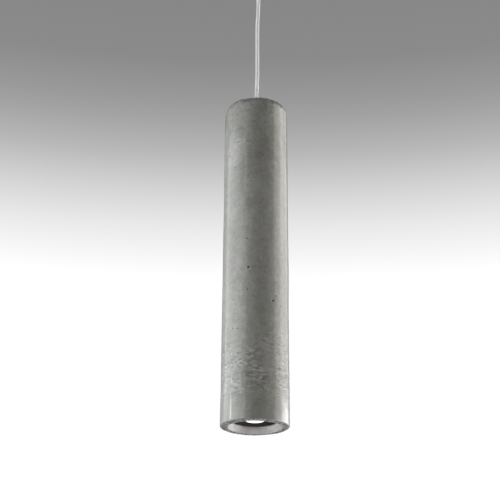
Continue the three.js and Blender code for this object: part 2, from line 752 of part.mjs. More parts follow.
/** The frosted lens: a disc with a slight crown towards the room. */
function lampLens() {
  const edge = LAMP_FACE + BEZEL_DISH;
  const crown = 0.6;
  const steps = 4;
  const face = [];
  for (let i = 0; i <= steps; i += 1) {
    const share = i / steps;
    face.push([LENS_RADIUS * share, edge - crown * (1 - share * share)]);
  }
  return turned([...face, [LENS_RADIUS, edge + 1.6], [0, edge + 1.6]], 32);
}

// ---------------------------------------------------------------- everything in its place

addPart('ceiling_bracket', ceilingBracket(), zincSteel);
for (const [name, side] of [['left', -1], ['right', 1]]) {
  const screw = addPart(`canopy_screw_${name}`, thumbScrew(), satinNickel);
  screw.rotation.y = (side * Math.PI) / 2;
  screw.position.set(side * (CANOPY_RADIUS + 0.4), 0, -SIDE_SCREW_DEPTH);
}
addPart('terminal_block', terminalBlock(), nylon);
let screwNumber = 1;
for (const [name, side] of poleSides()) {
  addPart(`terminal_clamp_${name}`, terminalClamp(side), brass);
  addPart(`canopy_lead_${name}`, canopyLead(side), side > 0 ? brownWire : blueWire);
  for (const end of [-1, 1]) {
    const x = BLOCK.x + end * POLE_SCREW_OFFSET;
    addPart(`terminal_screw_${screwNumber}`, terminalScrew(x, side * POLE_OFFSET), zincSteel);
    screwNumber += 1;
  }
}
addPart('block_screw', blockScrew(), zincSteel);

const washerLow = CANOPY_UNDERSIDE + CUP_WALL + TOUCH_GAP;
const canopyNutLow = washerLow + 1 + TOUCH_GAP;
const canopyNutHigh = canopyNutLow + NUT.canopyHeight;
addPart('canopy_cup', canopyCup(), satinNickel);
addPart('canopy_gland', canopyGland(), satinNickel);
addPart('gland_grub_screw', grubScrew(CANOPY_GRIP_TIP + GRUB_BELOW_CANOPY_TIP), zincSteel);
addPart('canopy_washer', ring(THREAD_HOLE, 9, washerLow, washerLow + 1), zincSteel);
addPart('canopy_lock_nut', hexNut(NUT.canopy, NUT.bore, canopyNutLow, canopyNutHigh), zincSteel);
addPart('cord_stop', cordStop(), nylon);
addPart('cord_stop_screw', cordStopScrew(), zincSteel);
addPart('canopy_cord_tail', disc(CORD_RADIUS, CANOPY_GRIP_TIP + 2, TAIL_TOP), clearCord);

const [cordBend, cordRun] = cordStretches();
addPart('cord_bend', cordBend, clearCord);
addPart('cord', cordRun, clearCord);

const slabUnder = BODY_TOP - TOP_SLAB;
const lockNutHigh = slabUnder - 2.6;
const lockNutLow = lockNutHigh - NUT.lockHeight;
const upperNutLow = BRIDGE.top + TOUCH_GAP;
const lowerNutHigh = BRIDGE.top - BRIDGE.sheet - TOUCH_GAP;
addPart('concrete_body', concreteBody(), concrete);
addPart('top_washer', ring(THREAD_HOLE, 12, BODY_TOP + TOUCH_GAP, BODY_TOP + 1.8), satinNickel);
addPart('top_cord_grip', topCordGrip(), satinNickel);
addPart('top_grip_screw', grubScrew(TOP_GRIP_TIP - GRUB_BELOW_TOP_TIP), zincSteel);
addPart('stem_tube', ring(STEM_BORE, THREAD_RADIUS, STEM_BOTTOM, STEM_TOP), zincSteel);
addPart('inner_washer', ring(THREAD_HOLE, 16, slabUnder - 2.3, slabUnder - TOUCH_GAP), zincSteel);
addPart('inner_lock_nut', hexNut(NUT.large, NUT.bore, lockNutLow, lockNutHigh), zincSteel);
addPart('inner_cord', disc(CORD_RADIUS, INNER_CORD_END, TOP_GRIP_TIP - TOUCH_GAP), clearCord);
addPart('holder_bridge', holderBridge(), zincSteel);
addPart('stem_nut_upper', hexNut(NUT.large, NUT.bore, upperNutLow, upperNutLow + NUT.height), zincSteel);
addPart('stem_nut_lower', hexNut(NUT.large, NUT.bore, lowerNutHigh - NUT.height, lowerNutHigh), zincSteel);
addPart('lamp_holder', lampHolder(), ceramic);
for (const [name, side] of [['left', -1], ['right', 1]]) {
  addPart(`holder_screw_${name}`, holderScrew(side), zincSteel);
}
for (const [name, side] of poleSides()) {
  addPart(`contact_${name}`, contact(side), brass);
  addPart(`holder_lead_${name}`, holderLead(side), side > 0 ? brownWire : blueWire);
}

const lamp = new THREE.Group();
pendantLight.add(lamp);
addPart('lamp_body', lampBody(), lampAluminium, lamp);
addPart('lamp_base', lampBase(), ceramic, lamp);
for (const [name, side] of [['left', -1], ['right', 1]]) {
  addPart(`lamp_pin_${name}`, lampPin(side), brass, lamp);
}
addPart('lamp_bezel', lampBezel(), darkBezel, lamp);
addPart('lamp_lens', lampLens(), frostedLens, lamp);
addPart('led_board', disc(BOARD.radius, BOARD.low, BOARD.low + BOARD.height, 32), boardWhite, lamp);

export default pendantLight;
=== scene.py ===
# %% [markdown]
# # A concrete tube pendant light
#
# The light is a cast concrete tube that hangs on a clear cord under a small nickel ceiling cup. A spot
# lamp sits just inside the tube's mouth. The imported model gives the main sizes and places. This lesson
# makes the surfaces around it: the casting with its pinholes and worn edges, the cord with its twisted
# cores, the spun and turned metal, and a material for each finish.

import json

import bpy
import numpy as np
from mathutils import Matrix, Vector

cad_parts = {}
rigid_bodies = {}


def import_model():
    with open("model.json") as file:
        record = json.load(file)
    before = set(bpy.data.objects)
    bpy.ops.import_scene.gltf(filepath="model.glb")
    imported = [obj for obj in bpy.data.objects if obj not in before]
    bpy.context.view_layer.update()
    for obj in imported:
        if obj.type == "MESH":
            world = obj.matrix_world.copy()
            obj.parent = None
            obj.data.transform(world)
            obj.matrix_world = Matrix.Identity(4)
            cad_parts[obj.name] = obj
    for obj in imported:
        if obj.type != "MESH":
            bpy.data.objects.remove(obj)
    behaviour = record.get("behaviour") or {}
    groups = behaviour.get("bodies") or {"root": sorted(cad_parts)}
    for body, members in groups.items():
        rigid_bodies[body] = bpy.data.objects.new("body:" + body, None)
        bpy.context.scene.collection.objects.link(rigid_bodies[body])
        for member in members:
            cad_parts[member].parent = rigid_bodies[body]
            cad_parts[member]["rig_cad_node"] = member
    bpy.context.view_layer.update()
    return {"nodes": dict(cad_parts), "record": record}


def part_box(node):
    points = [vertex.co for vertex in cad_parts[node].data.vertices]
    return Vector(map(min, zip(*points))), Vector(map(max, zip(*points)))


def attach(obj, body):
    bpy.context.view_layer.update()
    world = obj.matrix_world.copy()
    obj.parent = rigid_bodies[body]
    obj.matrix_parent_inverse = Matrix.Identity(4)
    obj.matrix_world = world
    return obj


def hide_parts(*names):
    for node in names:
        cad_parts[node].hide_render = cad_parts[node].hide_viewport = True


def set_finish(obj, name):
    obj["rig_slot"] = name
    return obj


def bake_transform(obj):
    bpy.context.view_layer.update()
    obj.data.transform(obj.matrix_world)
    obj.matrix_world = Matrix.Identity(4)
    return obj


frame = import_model()
MM = 0.001

# %% [markdown]
# ## The camera
#
# The eye is below the tube's mouth and looks up at it, so the mouth shows as a thin ellipse and the top
# of the tube as a steeper one. A long lens from over a metre away keeps the two sides nearly parallel.
# The camera could be aimed at a point with a constraint. It is placed by distances from the casting's
# own box instead, so that it follows the model if a size changes.

# %% Camera
casting_low, casting_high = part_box("concrete_body")
TUBE_RADIUS = (casting_high.x - casting_low.x) / 2
MOUTH_HEIGHT = casting_low.z
EYE_BACK = 30.04 * TUBE_RADIUS
EYE_BELOW_MOUTH = 7.5 * TUBE_RADIUS
EYE_LEFT = 0.175 * TUBE_RADIUS
LENS_MM = 76.88
SENSOR_MM = 36
TILT_UP_DEG = 23.46
ROLL_DEG = 0.40


def place_camera():
    """Puts the camera in front of and below the tube, tilted up and rolled a little about its own axis."""
    camera = bpy.data.objects.new("camera", bpy.data.cameras.new("camera"))
    bpy.context.scene.collection.objects.link(camera)
    camera.data.lens = LENS_MM
    camera.data.sensor_width = SENSOR_MM
    tilt = Matrix.Rotation(np.radians(90 + TILT_UP_DEG), 4, "X")
    roll = Matrix.Rotation(np.radians(ROLL_DEG), 4, "Z")
    eye = Matrix.Translation((-EYE_LEFT, -EYE_BACK, MOUTH_HEIGHT - EYE_BELOW_MOUTH))
    camera.matrix_world = eye @ tilt @ roll
    bpy.context.scene.camera = camera
    return camera


camera = place_camera()
print("camera", [round(x, 3) for x in camera.location])

# %% [markdown]
# ## Surfaces from numbers
#
# Every new piece is a surface worked out on a grid. A row is one step along a profile, and a column is
# one step round the axis, or round the section of a tube. The corners are computed as whole arrays, and
# one helper joins neighbouring rows and columns with four-sided faces. The signed volume of the closed
# surface says whether its faces look out, so a surface that came out inside out is turned there.


# %% Grid helpers
def grid_faces(rows, columns, closed_rows):
    """Four-sided faces between neighbouring rows and columns; columns wrap, rows wrap if closed_rows."""
    row = np.arange(rows if closed_rows else rows - 1)[:, None]
    column = np.arange(columns)[None, :]
    next_row = (row + 1) % rows
    next_column = (column + 1) % columns
    corners = [row * columns + column, row * columns + next_column,
               next_row * columns + next_column, next_row * columns + column]
    return np.stack([np.broadcast_to(c, (row.size, columns)) for c in corners], -1).reshape(-1, 4)


def fan_faces(ring_start, columns, pole, flip):
    """Three-sided faces from one ring of corners to a single pole corner."""
    first = ring_start + np.arange(columns)
    second = ring_start + (np.arange(columns) + 1) % columns
    pair = [second, first] if flip else [first, second]
    return np.stack([*pair, np.full(columns, pole)], -1)


def signed_volume(points, faces):
    """A sixth of the sum of corner . (corner x corner) over the faces.

    Each face is cut into triangles from its first corner.
    """
    total = 0.0
    for face_array in faces:
        for k in range(1, face_array.shape[1] - 1):
            a, b, c = (points[face_array[:, n]] for n in (0, k, k + 1))
            total += np.einsum("ij,ij->", a, np.cross(b, c)) / 6
    return total


def make_piece(name, points, faces, sharp_deg=38):
    """A mesh object at the origin from corners and faces, its faces turned outwards and smoothed."""
    faces = [f for f in faces if len(f)]
    if signed_volume(points, faces) < 0:
        faces = [f[:, ::-1] for f in faces]
    mesh = bpy.data.meshes.new(name)
    mesh.from_pydata(points.tolist(), [], [corner for f in faces for corner in f.tolist()])
    mesh.update()
    mesh.shade_smooth()
    mesh.set_sharp_from_angle(angle=np.radians(sharp_deg))
    piece = bpy.data.objects.new(name, mesh)
    bpy.context.scene.collection.objects.link(piece)
    print(name, len(points), "corners", sum(len(f) * (f.shape[1] - 2) for f in faces), "triangles")
    return piece


def turned_points(profile, angles, swell=None):
    """Each profile point (r, z) carried round the axis: (r cos a, r sin a, z).

    If swell is given, it multiplies r at each row and angle.
    """
    radius = np.broadcast_to(profile[:, :1], (len(profile), len(angles)))
    if swell is not None:
        radius = radius * swell
    height = np.broadcast_to(profile[:, 1:], radius.shape)
    return np.stack([radius * np.cos(angles), radius * np.sin(angles), height], -1).reshape(-1, 3)


def full_turn(columns):
    return np.linspace(0, 2 * np.pi, columns, endpoint=False)


def turned_ring(name, profile, columns=128, swell=None):
    """A ring: a closed profile of (r, z) points, none on the axis, carried round it."""
    profile = np.array(profile, float)
    points = turned_points(profile, full_turn(columns), swell)
    return make_piece(name, points, [grid_faces(len(profile), columns, True)])


def turned_solid(name, profile, columns=96, swell=None):
    """A solid of revolution: the profile starts and ends on the axis, where a single corner closes it."""
    profile = np.array(profile, float)
    rim = profile[1:-1]
    inner_swell = None if swell is None else swell[1:-1]
    points = turned_points(rim, full_turn(columns), inner_swell)
    poles = np.array([[0, 0, profile[0, 1]], [0, 0, profile[-1, 1]]])
    last_ring = (len(rim) - 1) * columns
    quads = grid_faces(len(rim), columns, False)
    fans = np.concatenate([
        fan_faces(0, columns, len(points), True),
        fan_faces(last_ring, columns, len(points) + 1, False),
    ])
    return make_piece(name, np.concatenate([points, poles]), [quads, fans])


def rounded(corners, radius, steps=4):
    """A profile with each corner b replaced by a curve like an arc: (1-t)^2 a + 2t(1-t) b + t^2 c."""
    corners = np.array(corners, float)
    before, after = np.roll(corners, 1, 0), np.roll(corners, -1, 0)
    radius = np.broadcast_to(radius, len(corners))[:, None]
    to_before, to_after = before - corners, after - corners
    length_before = np.linalg.norm(to_before, axis=1, keepdims=True)
    length_after = np.linalg.norm(to_after, axis=1, keepdims=True)
    reach = np.minimum(radius, 0.45 * np.minimum(length_before, length_after))
    a = corners + to_before / length_before * reach
    c = corners + to_after / length_after * reach
    t = np.linspace(0, 1, steps + 1)[None, :, None]
    curve = (1 - t) ** 2 * a[:, None] + 2 * t * (1 - t) * corners[:, None] + t**2 * c[:, None]
    return curve.reshape(-1, 2)


def stand_in(piece, body, slot_name, *nodes):
    """Puts a piece on its body, in place of the nodes it shows, with the slot of its finish."""
    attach(piece, body)
    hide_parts(*nodes)
    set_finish(piece, slot_name)


# %% [markdown]
# ## The cord
#
# The cord is a clear sheath over two tinned cores that twist round each other. It comes out of the cup's
# grip, hangs nearly straight under the tube's weight and goes into the grip on the tube. A real cord that
# was coiled in its box keeps a slight wave, so the route does too. The centre line is a smooth curve
# through listed points, and the sheath is a round section carried along it. Each core is a
# smaller section whose centre circles the line once in every turn of twist.

# %% Cord route
CORD_RADIUS = 2.3 * MM
grip_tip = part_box("canopy_gland")[0].z
tube_grip_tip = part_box("top_cord_grip")[1].z
GAP = 0.3 * MM
ROUTE_MM = [
    (0.0, 0, (grip_tip - GAP) / MM),
    (0.1, 0, -48),
    (0.5, 0, -54),
    (1.4, 0, -62),
    (2.1, 0, -73),
    (1.9, 0, -86),
    (1.3, 0, -100),
    (0.9, 0, -116),
    (0.8, 0, -135),
    (0.9, 0, -155),
    (1.0, 0, -175),
    (0.9, 0, -193),
    (0.6, 0, -208),
    (0.2, 0, -219),
    (0.0, 0, -225),
    (0.0, 0, (tube_grip_tip + GAP) / MM),
]


def smooth_route(points, per_span):
    """A Catmull-Rom curve: the cubic from b to c leaves along c - a and arrives along d - b."""
    p = np.array(points, float)
    p = np.concatenate([[2 * p[0] - p[1]], p, [2 * p[-1] - p[-2]]])
    a, b, c, d = p[:-3, None], p[1:-2, None], p[2:-1, None], p[3:, None]
    t = np.linspace(0, 1, per_span, endpoint=False)[None, :, None]
    square, cube = 2 * a - 5 * b + 4 * c - d, 3 * b - a - 3 * c + d
    spans = 0.5 * (2 * b + (c - a) * t + square * t**2 + cube * t**3)
    return np.concatenate([spans.reshape(-1, 3), p[-2:-1]])


def even_steps(path, count):
    """The same path in equal steps of its own length."""
    along = np.concatenate([[0], np.cumsum(np.linalg.norm(np.diff(path, axis=0), axis=1))])
    wanted = np.linspace(0, along[-1], count)
    return np.stack([np.interp(wanted, along, path[:, k]) for k in range(3)], -1), along[-1]


def tube_along(name, path, radius, sides, sharp_deg=60):
    """A round section carried along a path: centre + r (cos a side + sin a up), square to the path."""
    direction = np.gradient(path, axis=0)
    direction /= np.linalg.norm(direction, axis=1, keepdims=True)
    helper = np.array([0.0, 1.0, 0.0]) if abs(direction[:, 1]).max() < 0.9 else np.array([0.0, 0.0, 1.0])
    side = np.cross(direction, helper)
    side /= np.linalg.norm(side, axis=1, keepdims=True)
    up = np.cross(direction, side)
    angle = full_turn(sides)[None, :, None]
    radius = np.broadcast_to(radius, len(path))[:, None, None]
    points = path[:, None] + radius * (np.cos(angle) * side[:, None] + np.sin(angle) * up[:, None])
    points = points.reshape(-1, 3)
    ends = np.stack([path[0], path[-1]])
    fans = np.concatenate([
        fan_faces(0, sides, len(points), True),
        fan_faces((len(path) - 1) * sides, sides, len(points) + 1, False),
    ])
    skin = grid_faces(len(path), sides, False)
    return make_piece(name, np.concatenate([points, ends]), [skin, fans], sharp_deg)


cord_path, cord_length = even_steps(smooth_route(ROUTE_MM, 24) * MM, 181)
print("cord length", round(cord_length, 4))

# %% Sheath and cores
CORE_RADIUS = 0.85 * MM
CORE_ORBIT = 0.9 * MM
TWIST_LENGTH = 34 * MM
CORE_STEP = 0.45 * MM
FIRST_CORE_ANGLE = 0.4


def twisted_core(name, route, start_angle):
    """A core whose centre is route + orbit (cos w, sin w), w growing by one turn in each twist length."""
    length = even_steps(route, 2)[1]
    line = even_steps(route, max(12, int(length / CORE_STEP)))[0]
    turn = start_angle + 2 * np.pi * np.linspace(0, length / TWIST_LENGTH, len(line))
    line[:, 0] += CORE_ORBIT * np.cos(turn)
    line[:, 1] += CORE_ORBIT * np.sin(turn)
    return tube_along(name, line, CORE_RADIUS, 14)


cord_sheath = tube_along("cord_sheath", cord_path, CORD_RADIUS, 32)
cores = [
    twisted_core("cord_core_live", cord_path, FIRST_CORE_ANGLE),
    twisted_core("cord_core_neutral", cord_path, FIRST_CORE_ANGLE + np.pi),
]
for strand in (cord_sheath, *cores):
    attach(strand, "cord_lower")
    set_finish(strand, "clear_cord")
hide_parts("cord", "cord_bend")

# %% [markdown]
# ## The casting
#
# The tube is poured in a smooth round mould, so its skin follows the mould closely. What makes it
# concrete is small: pinholes where air sat against the mould, edges that wore back a little as it was
# freed, and a skin that is never quite round. It could be sculpted, or cut with many boolean holes. Here
# one profile is carried round the axis, and three height fields move its points: a slow swell, the worn
# edges and the pits. Rows and columns are packed closer where a pit sits, so each hole is a real dent
# while the rest of the tube stays light.

# %% Height fields
BORE_RADIUS = 25.75 * MM
STEM_HOLE = 5.3 * MM
SLAB = 20 * MM
TUBE_TOP = casting_high.z
TUBE_LENGTH = TUBE_TOP - MOUTH_HEIGHT


def soft_noise(turn, rise, across, up, seed):
    """Random heights on a lattice that wraps round the tube, blended by 3t^2 - 2t^3; from -0.5 to 0.5."""
    lattice = np.random.default_rng(seed).random((across, up + 1))
    x, y = turn * across, np.clip(rise, 0, 1) * up
    i, j = np.floor(x).astype(int), np.minimum(np.floor(y).astype(int), up - 1)
    s, t = (f * f * (3 - 2 * f) for f in (x - i, y - j))
    low = lattice[i % across, j] * (1 - s) + lattice[(i + 1) % across, j] * s
    high = lattice[i % across, j + 1] * (1 - s) + lattice[(i + 1) % across, j + 1] * s
    return low * (1 - t) + high * t - 0.5


# each pit: degrees round from the front, millimetres above the mouth, radius and depth in millimetres
PITS = [
    (-15.4, 212, 1.0, 0.8),
    (-12.5, 176, 1.4, 1.4),
    (-5.0, 176.5, 0.6, 0.3),
    (-14.1, 149, 0.75, 0.5),
    (30.2, 137, 1.4, 1.3),
    (36.2, 143.5, 1.0, 0.35),
    (47.8, 133, 0.8, 0.5),
    (-30.7, 104, 0.9, 0.4),
    (-41.0, 105, 0.7, 0.35),
    (-39.4, 307, 0.8, 0.4),
    (-33.0, 341, 0.9, 0.5),
    (-60.0, 66, 0.8, 0.5),
    (118.0, 240, 1.0, 0.8),
    (163.0, 96, 0.9, 0.7),
    (-142.0, 190, 1.1, 0.9),
    (-104.0, 330, 0.9, 0.7),
]

# each worn edge: least reach and spread of its ragged line in millimetres, slope, first seed
TOP_ARRIS = (4.4, 4.0, 0.24, 21)
FOOT_ARRIS = (0.5, 1.2, 0.35, 41)
ARRIS_SOFT = 0.2


def wrapped(angle_deg):
    return (angle_deg + 180) % 360 - 180


def worn_arris(angle_deg, from_edge_mm, low_mm, spread_mm, slope, seed):
    """How far the wall is worn back: slope times the distance past a ragged line, towards the edge."""
    turn = (angle_deg % 360) / 360
    flat = np.zeros_like(turn)
    ragged = soft_noise(turn, flat, 11, 1, seed) + 0.8 * soft_noise(turn, flat, 34, 1, seed + 1)
    ragged += 0.6 * soft_noise(turn, flat, 110, 1, seed + 2)
    line = low_mm + spread_mm * np.clip(ragged + 0.35, 0, 1)
    past = np.clip(line - from_edge_mm, 0, None)
    return slope * (np.sqrt(past**2 + ARRIS_SOFT**2) - ARRIS_SOFT)


def pit_field(angle_deg, height_mm):
    """Depth of the pits, and how far inside one a point is: share = 1 - (d / r)^2, depth as share^1.5."""
    depth = np.zeros_like(angle_deg)
    inside = np.zeros_like(angle_deg)
    for centre, height, radius, deep in PITS:
        across = np.radians(wrapped(angle_deg - centre)) * TUBE_RADIUS / MM
        share = np.clip(1 - (across**2 + (height_mm - height) ** 2) / radius**2, 0, 1)
        depth = np.maximum(depth, deep * share**1.5)
        inside = np.maximum(inside, share)
    return depth * MM, inside


def packed_steps(base, centres, reach, step, least):
    """The base positions with a close run of extra ones about each centre, sorted, none nearer than least."""
    runs = [np.arange(c - reach, c + reach + step / 2, step) for c in centres]
    merged = np.sort(np.concatenate([base, *runs]))
    return merged[np.concatenate([[True], np.diff(merged) > least])]


# %% Casting profile
FOOT_ROUND = 1.7 * MM
MOUTH_RADIUS = 29.5 * MM
MOUTH_ROUND = 0.5 * MM
FLARE_TOP = 6.8 * MM
TOP_ROUND = 0.8 * MM
HOLE_ROUND = 0.5 * MM
CLOSE_ROWS = 9 * MM


def casting_profile():
    """The outline up the outer wall, over the top, down the stem hole and bore and out of the mouth.

    Columns: radius, height above the mouth, and whether the point is on the outer wall, lip or flare.
    """
    even_rows = np.linspace(0, TUBE_LENGTH / MM, 121)
    heights = packed_steps(even_rows, [pit[1] for pit in PITS], 1.5, 0.3, 0.12) * MM
    heights = heights[(heights > FOOT_ROUND + 1 * MM) & (heights < TUBE_LENGTH - CLOSE_ROWS)]
    near_top = np.arange(TUBE_LENGTH - CLOSE_ROWS, TUBE_LENGTH - TOP_ROUND - 0.1 * MM, 0.45 * MM)
    t = np.linspace(0, np.pi / 2, 7)
    rows = []

    def add(radius, height, wall=0.0, lip=0.0, flare=0.0):
        rows.append(np.stack(np.broadcast_arrays(radius, height, wall, lip, flare), -1).astype(float))

    foot = FOOT_ROUND * (1 - np.cos(t))
    add(TUBE_RADIUS - FOOT_ROUND * (1 - np.sin(t)), foot, 1, 1 - np.sin(t))
    add(TUBE_RADIUS, FOOT_ROUND + np.array([0.4, 0.9]) * MM, 1)
    add(TUBE_RADIUS, heights, 1)
    add(TUBE_RADIUS, near_top, 1)
    add(TUBE_RADIUS - TOP_ROUND * (1 - np.cos(t)), TUBE_LENGTH - TOP_ROUND * (1 - np.sin(t)), 1)
    add(TUBE_RADIUS - TOP_ROUND - np.array([2.5, 5, 8, 12, 17, 22, 27]) * MM, TUBE_LENGTH)
    add(STEM_HOLE + HOLE_ROUND * (1 - np.sin(t[::3])), TUBE_LENGTH - HOLE_ROUND * (1 - np.cos(t[::3])))
    add(STEM_HOLE, TUBE_LENGTH - np.array([6, 13, 20]) * MM)
    add(np.linspace(9, 25, 5) * MM, TUBE_LENGTH - SLAB)
    add(BORE_RADIUS, np.linspace(TUBE_LENGTH - SLAB, FLARE_TOP + 1 * MM, 16))
    s = np.linspace(0, 1, 14)
    add(BORE_RADIUS + (MOUTH_RADIUS - BORE_RADIUS) * s**1.6, FLARE_TOP * (1 - s) + MOUTH_ROUND * s, 0, 0, 1)
    add(MOUTH_RADIUS + MOUTH_ROUND * (1 - np.cos(t[1:])), MOUTH_ROUND * (1 - np.sin(t[1:])), 0, 0, 1)
    add(np.linspace(MOUTH_RADIUS + MOUTH_ROUND + 0.8 * MM, TUBE_RADIUS - FOOT_ROUND - 0.8 * MM, 7), 0, 0, 1)
    return np.concatenate(rows)


def cast_tube():
    """The profile carried round: r sin a, -r cos a, z, where r has a swell and loses worn edges and pits."""
    profile = casting_profile()
    steps = packed_steps(np.arange(-180, 180, 2.0), [p[0] for p in PITS], 2.1, 0.42, 0.17)
    angle_deg, radius = np.meshgrid(steps, profile[:, 0])
    height, wall, lip, flare = (np.broadcast_to(profile[:, k : k + 1], radius.shape) for k in range(1, 5))
    turn, rise = (angle_deg + 180) / 360, height / TUBE_LENGTH
    swell = soft_noise(turn, rise, 7, 9, 11) * 0.5 + soft_noise(turn, rise, 24, 62, 12) * 0.15
    swell += soft_noise(turn, rise, 60, 170, 13) * 0.05
    pits, inside = pit_field(angle_deg, height / MM)
    worn = worn_arris(angle_deg, (TUBE_LENGTH - height) / MM, *TOP_ARRIS)
    worn += worn_arris(angle_deg, height / MM, *FOOT_ARRIS)
    worn_top = worn.max(axis=0)[None, :]
    on_top = np.clip((radius / MM - 12) / 20, 0, 1) * (wall == 0) * (height > TUBE_LENGTH / 2)
    dents = lip * (soft_noise(turn, radius / TUBE_RADIUS, 70, 40, 51) + 0.5) * 0.5
    radius = radius + (swell * MM - pits - worn * MM) * wall - on_top * worn_top * MM
    height = MOUTH_HEIGHT + height + dents * MM
    angle = np.radians(angle_deg)
    points = np.stack([radius * np.sin(angle), -radius * np.cos(angle), height], -1).reshape(-1, 3)
    casting = make_piece("concrete_casting", points, [grid_faces(len(profile), len(steps), True)], 80)
    # The pit and worn marks also place painted shade in the concrete's colour, and the flare mark a partly
    # painted glow.
    marks = {"pit": inside * wall, "lip": lip, "flare": flare, "worn": np.clip(worn * 2.2, 0, 1) * wall}
    for name, values in marks.items():
        attribute = casting.data.attributes.new(name, "FLOAT", "POINT")
        attribute.data.foreach_set("value", values.astype(np.float32).ravel())
    return casting


casting = cast_tube()
stand_in(casting, "pendant", "concrete", "concrete_body")

# %% [markdown]
# ## The lamp's face
#
# Just inside the mouth is the front of the spot lamp: a black moulded ring that dishes in a little, and a
# frosted lens with a slight crown. Both are turned shapes. The ring gets a small bead at its edges,
# because a moulded edge is never sharp, and four fine steps across its face.


# %% Ring and lens
def lamp_ring():
    """A closed profile: an edge that laps the lens, a dished face with four fine steps, a rim, the back."""
    low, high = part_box("lamp_bezel")
    outer, face = high.x, low.z
    edge, well = 10.1 * MM, 11.4 * MM
    stair = np.linspace(edge + 1.1 * MM, outer - 2.2 * MM, 8)
    rise = face + 0.72 * MM * (outer - stair) / (outer - edge) + np.tile([0.12 * MM, 0], 4)
    lap = [(edge, face + 0.64 * MM), (edge, face + 0.56 * MM), (edge + 0.35 * MM, face + 0.46 * MM)]
    rim = rounded([(outer - 1.6 * MM, face), (outer, face), (outer, high.z)], 0.5 * MM)[5:10]
    back = [(outer, high.z), (outer - 1.3 * MM, high.z), (outer - 1.3 * MM, face + 1.2 * MM),
            (well, face + 2 * MM), (well, face + 0.66 * MM)]
    return turned_ring("lamp_front_ring", [*lap, *zip(stair, rise), *rim, *back], 160)


def lamp_lens():
    """A disc whose lower face is a shallow dome: edge height less crown (1 - share^2)."""
    low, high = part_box("lamp_lens")
    share = np.linspace(0, 1, 14)
    dome = np.stack([high.x * share, low.z + 0.6 * MM * share**2], -1)
    top = [(high.x, high.z - 0.2 * MM), (high.x - 0.2 * MM, high.z), (0, high.z)]
    return turned_solid("lamp_front_lens", [*dome, *top], 96)


stand_in(lamp_ring(), "lamp", "dark_bezel", "lamp_bezel")
stand_in(lamp_lens(), "lamp", "frosted_lens", "lamp_lens")

# %% [markdown]
# ## Cup, grips and screws
#
# The ceiling cup is spun from sheet, so it has a soft shoulder, a rounded rim and very fine rings. A notch
# at each side lets it slide down past its side screws. The two cord grips are turned bar: a flange, a
# waist with a few grooves to hold it by, and a tapered nose with a mouth that is rounded so the cord never
# rubs on an edge. Each is a profile carried round the axis. The notches could be cut with a boolean.
# Instead the heights of the cup's wall are scaled down where a notch is, which keeps its grid whole.


# %% Ceiling cup
NOTCH_HALF = 2.35 * MM
NOTCH_CENTRE_Z = -9 * MM
NOTCH_EDGE = 1.02


def notched_turn(columns, radius):
    """Even angles round the rim, with closer ones across the notch at each side and just beyond its edges."""
    across = np.sin(np.linspace(-np.pi / 2, np.pi / 2, 13))
    across = np.concatenate([[-NOTCH_EDGE], across, [NOTCH_EDGE]])
    near = np.arcsin(across * NOTCH_HALF / radius)
    even = full_turn(columns)
    clear = np.abs(np.sin(even)) * radius > 1.3 * NOTCH_HALF
    return np.sort(np.concatenate([even[clear], near, np.pi - near]) % (2 * np.pi))


def notch_edge(angles, radius):
    """The rim's height: centre - sqrt(half^2 - y^2) where |y| is within the notch's half width, else zero."""
    y = np.abs(np.sin(angles)) * radius
    foot = NOTCH_CENTRE_Z - np.sqrt(np.maximum(NOTCH_HALF**2 - y**2, 0))
    return np.where(y < (1 + NOTCH_EDGE) / 2 * NOTCH_HALF, foot, 0.0)


def ceiling_cup():
    """The spun profile, with the heights above the shoulder scaled so that the top follows the rim."""
    low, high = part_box("canopy_cup")
    outer, floor = high.x, low.z
    wall, hole, shoulder = 1 * MM, STEM_HOLE, 5 * MM
    t = np.linspace(-np.pi / 2, 0, 12)
    bend_x, bend_z = outer - shoulder, floor + shoulder
    levels = np.linspace(bend_z, -0.35 * MM, 8)[1:]
    rows = [(hole + 0.3 * MM, floor), (20 * MM, floor), (35 * MM, floor)]
    rows += list(zip(bend_x + shoulder * np.cos(t), bend_z + shoulder * np.sin(t)))
    outer_rows = [(outer, z) for z in levels]
    rim = [(outer - 0.15 * MM, -0.08 * MM), (outer - 0.5 * MM, 0), (outer - 0.85 * MM, -0.08 * MM)]
    inner_rows = [(outer - wall, z) for z in levels[::-1]]
    inner_bend = shoulder - wall
    inside = list(zip(bend_x + inner_bend * np.cos(t), bend_z + inner_bend * np.sin(t)))[::-1]
    floor_rows = [(35 * MM, floor + wall), (20 * MM, floor + wall), (hole + 0.3 * MM, floor + wall)]
    hole_rows = [(hole, floor + 0.7 * MM), (hole, floor + 0.3 * MM)]
    profile = np.array([*rows, *outer_rows, *rim, *inner_rows, *inside, *floor_rows, *hole_rows])
    angles = notched_turn(256, outer - wall)
    points = turned_points(profile, angles).reshape(len(profile), len(angles), 3)
    height = points[..., 2]
    scaled = bend_z + (height - bend_z) * (1 - notch_edge(angles, outer - wall) / bend_z)
    points[..., 2] = np.where(height > bend_z, scaled, height)
    return make_piece("ceiling_cup", points.reshape(-1, 3), [grid_faces(len(profile), len(angles), True)])


stand_in(ceiling_cup(), "canopy", "satin_nickel", "canopy_cup")


# %% Cord grips
GRIP_BORE = 2.7 * MM
STEM_SOCKET = 5.2 * MM


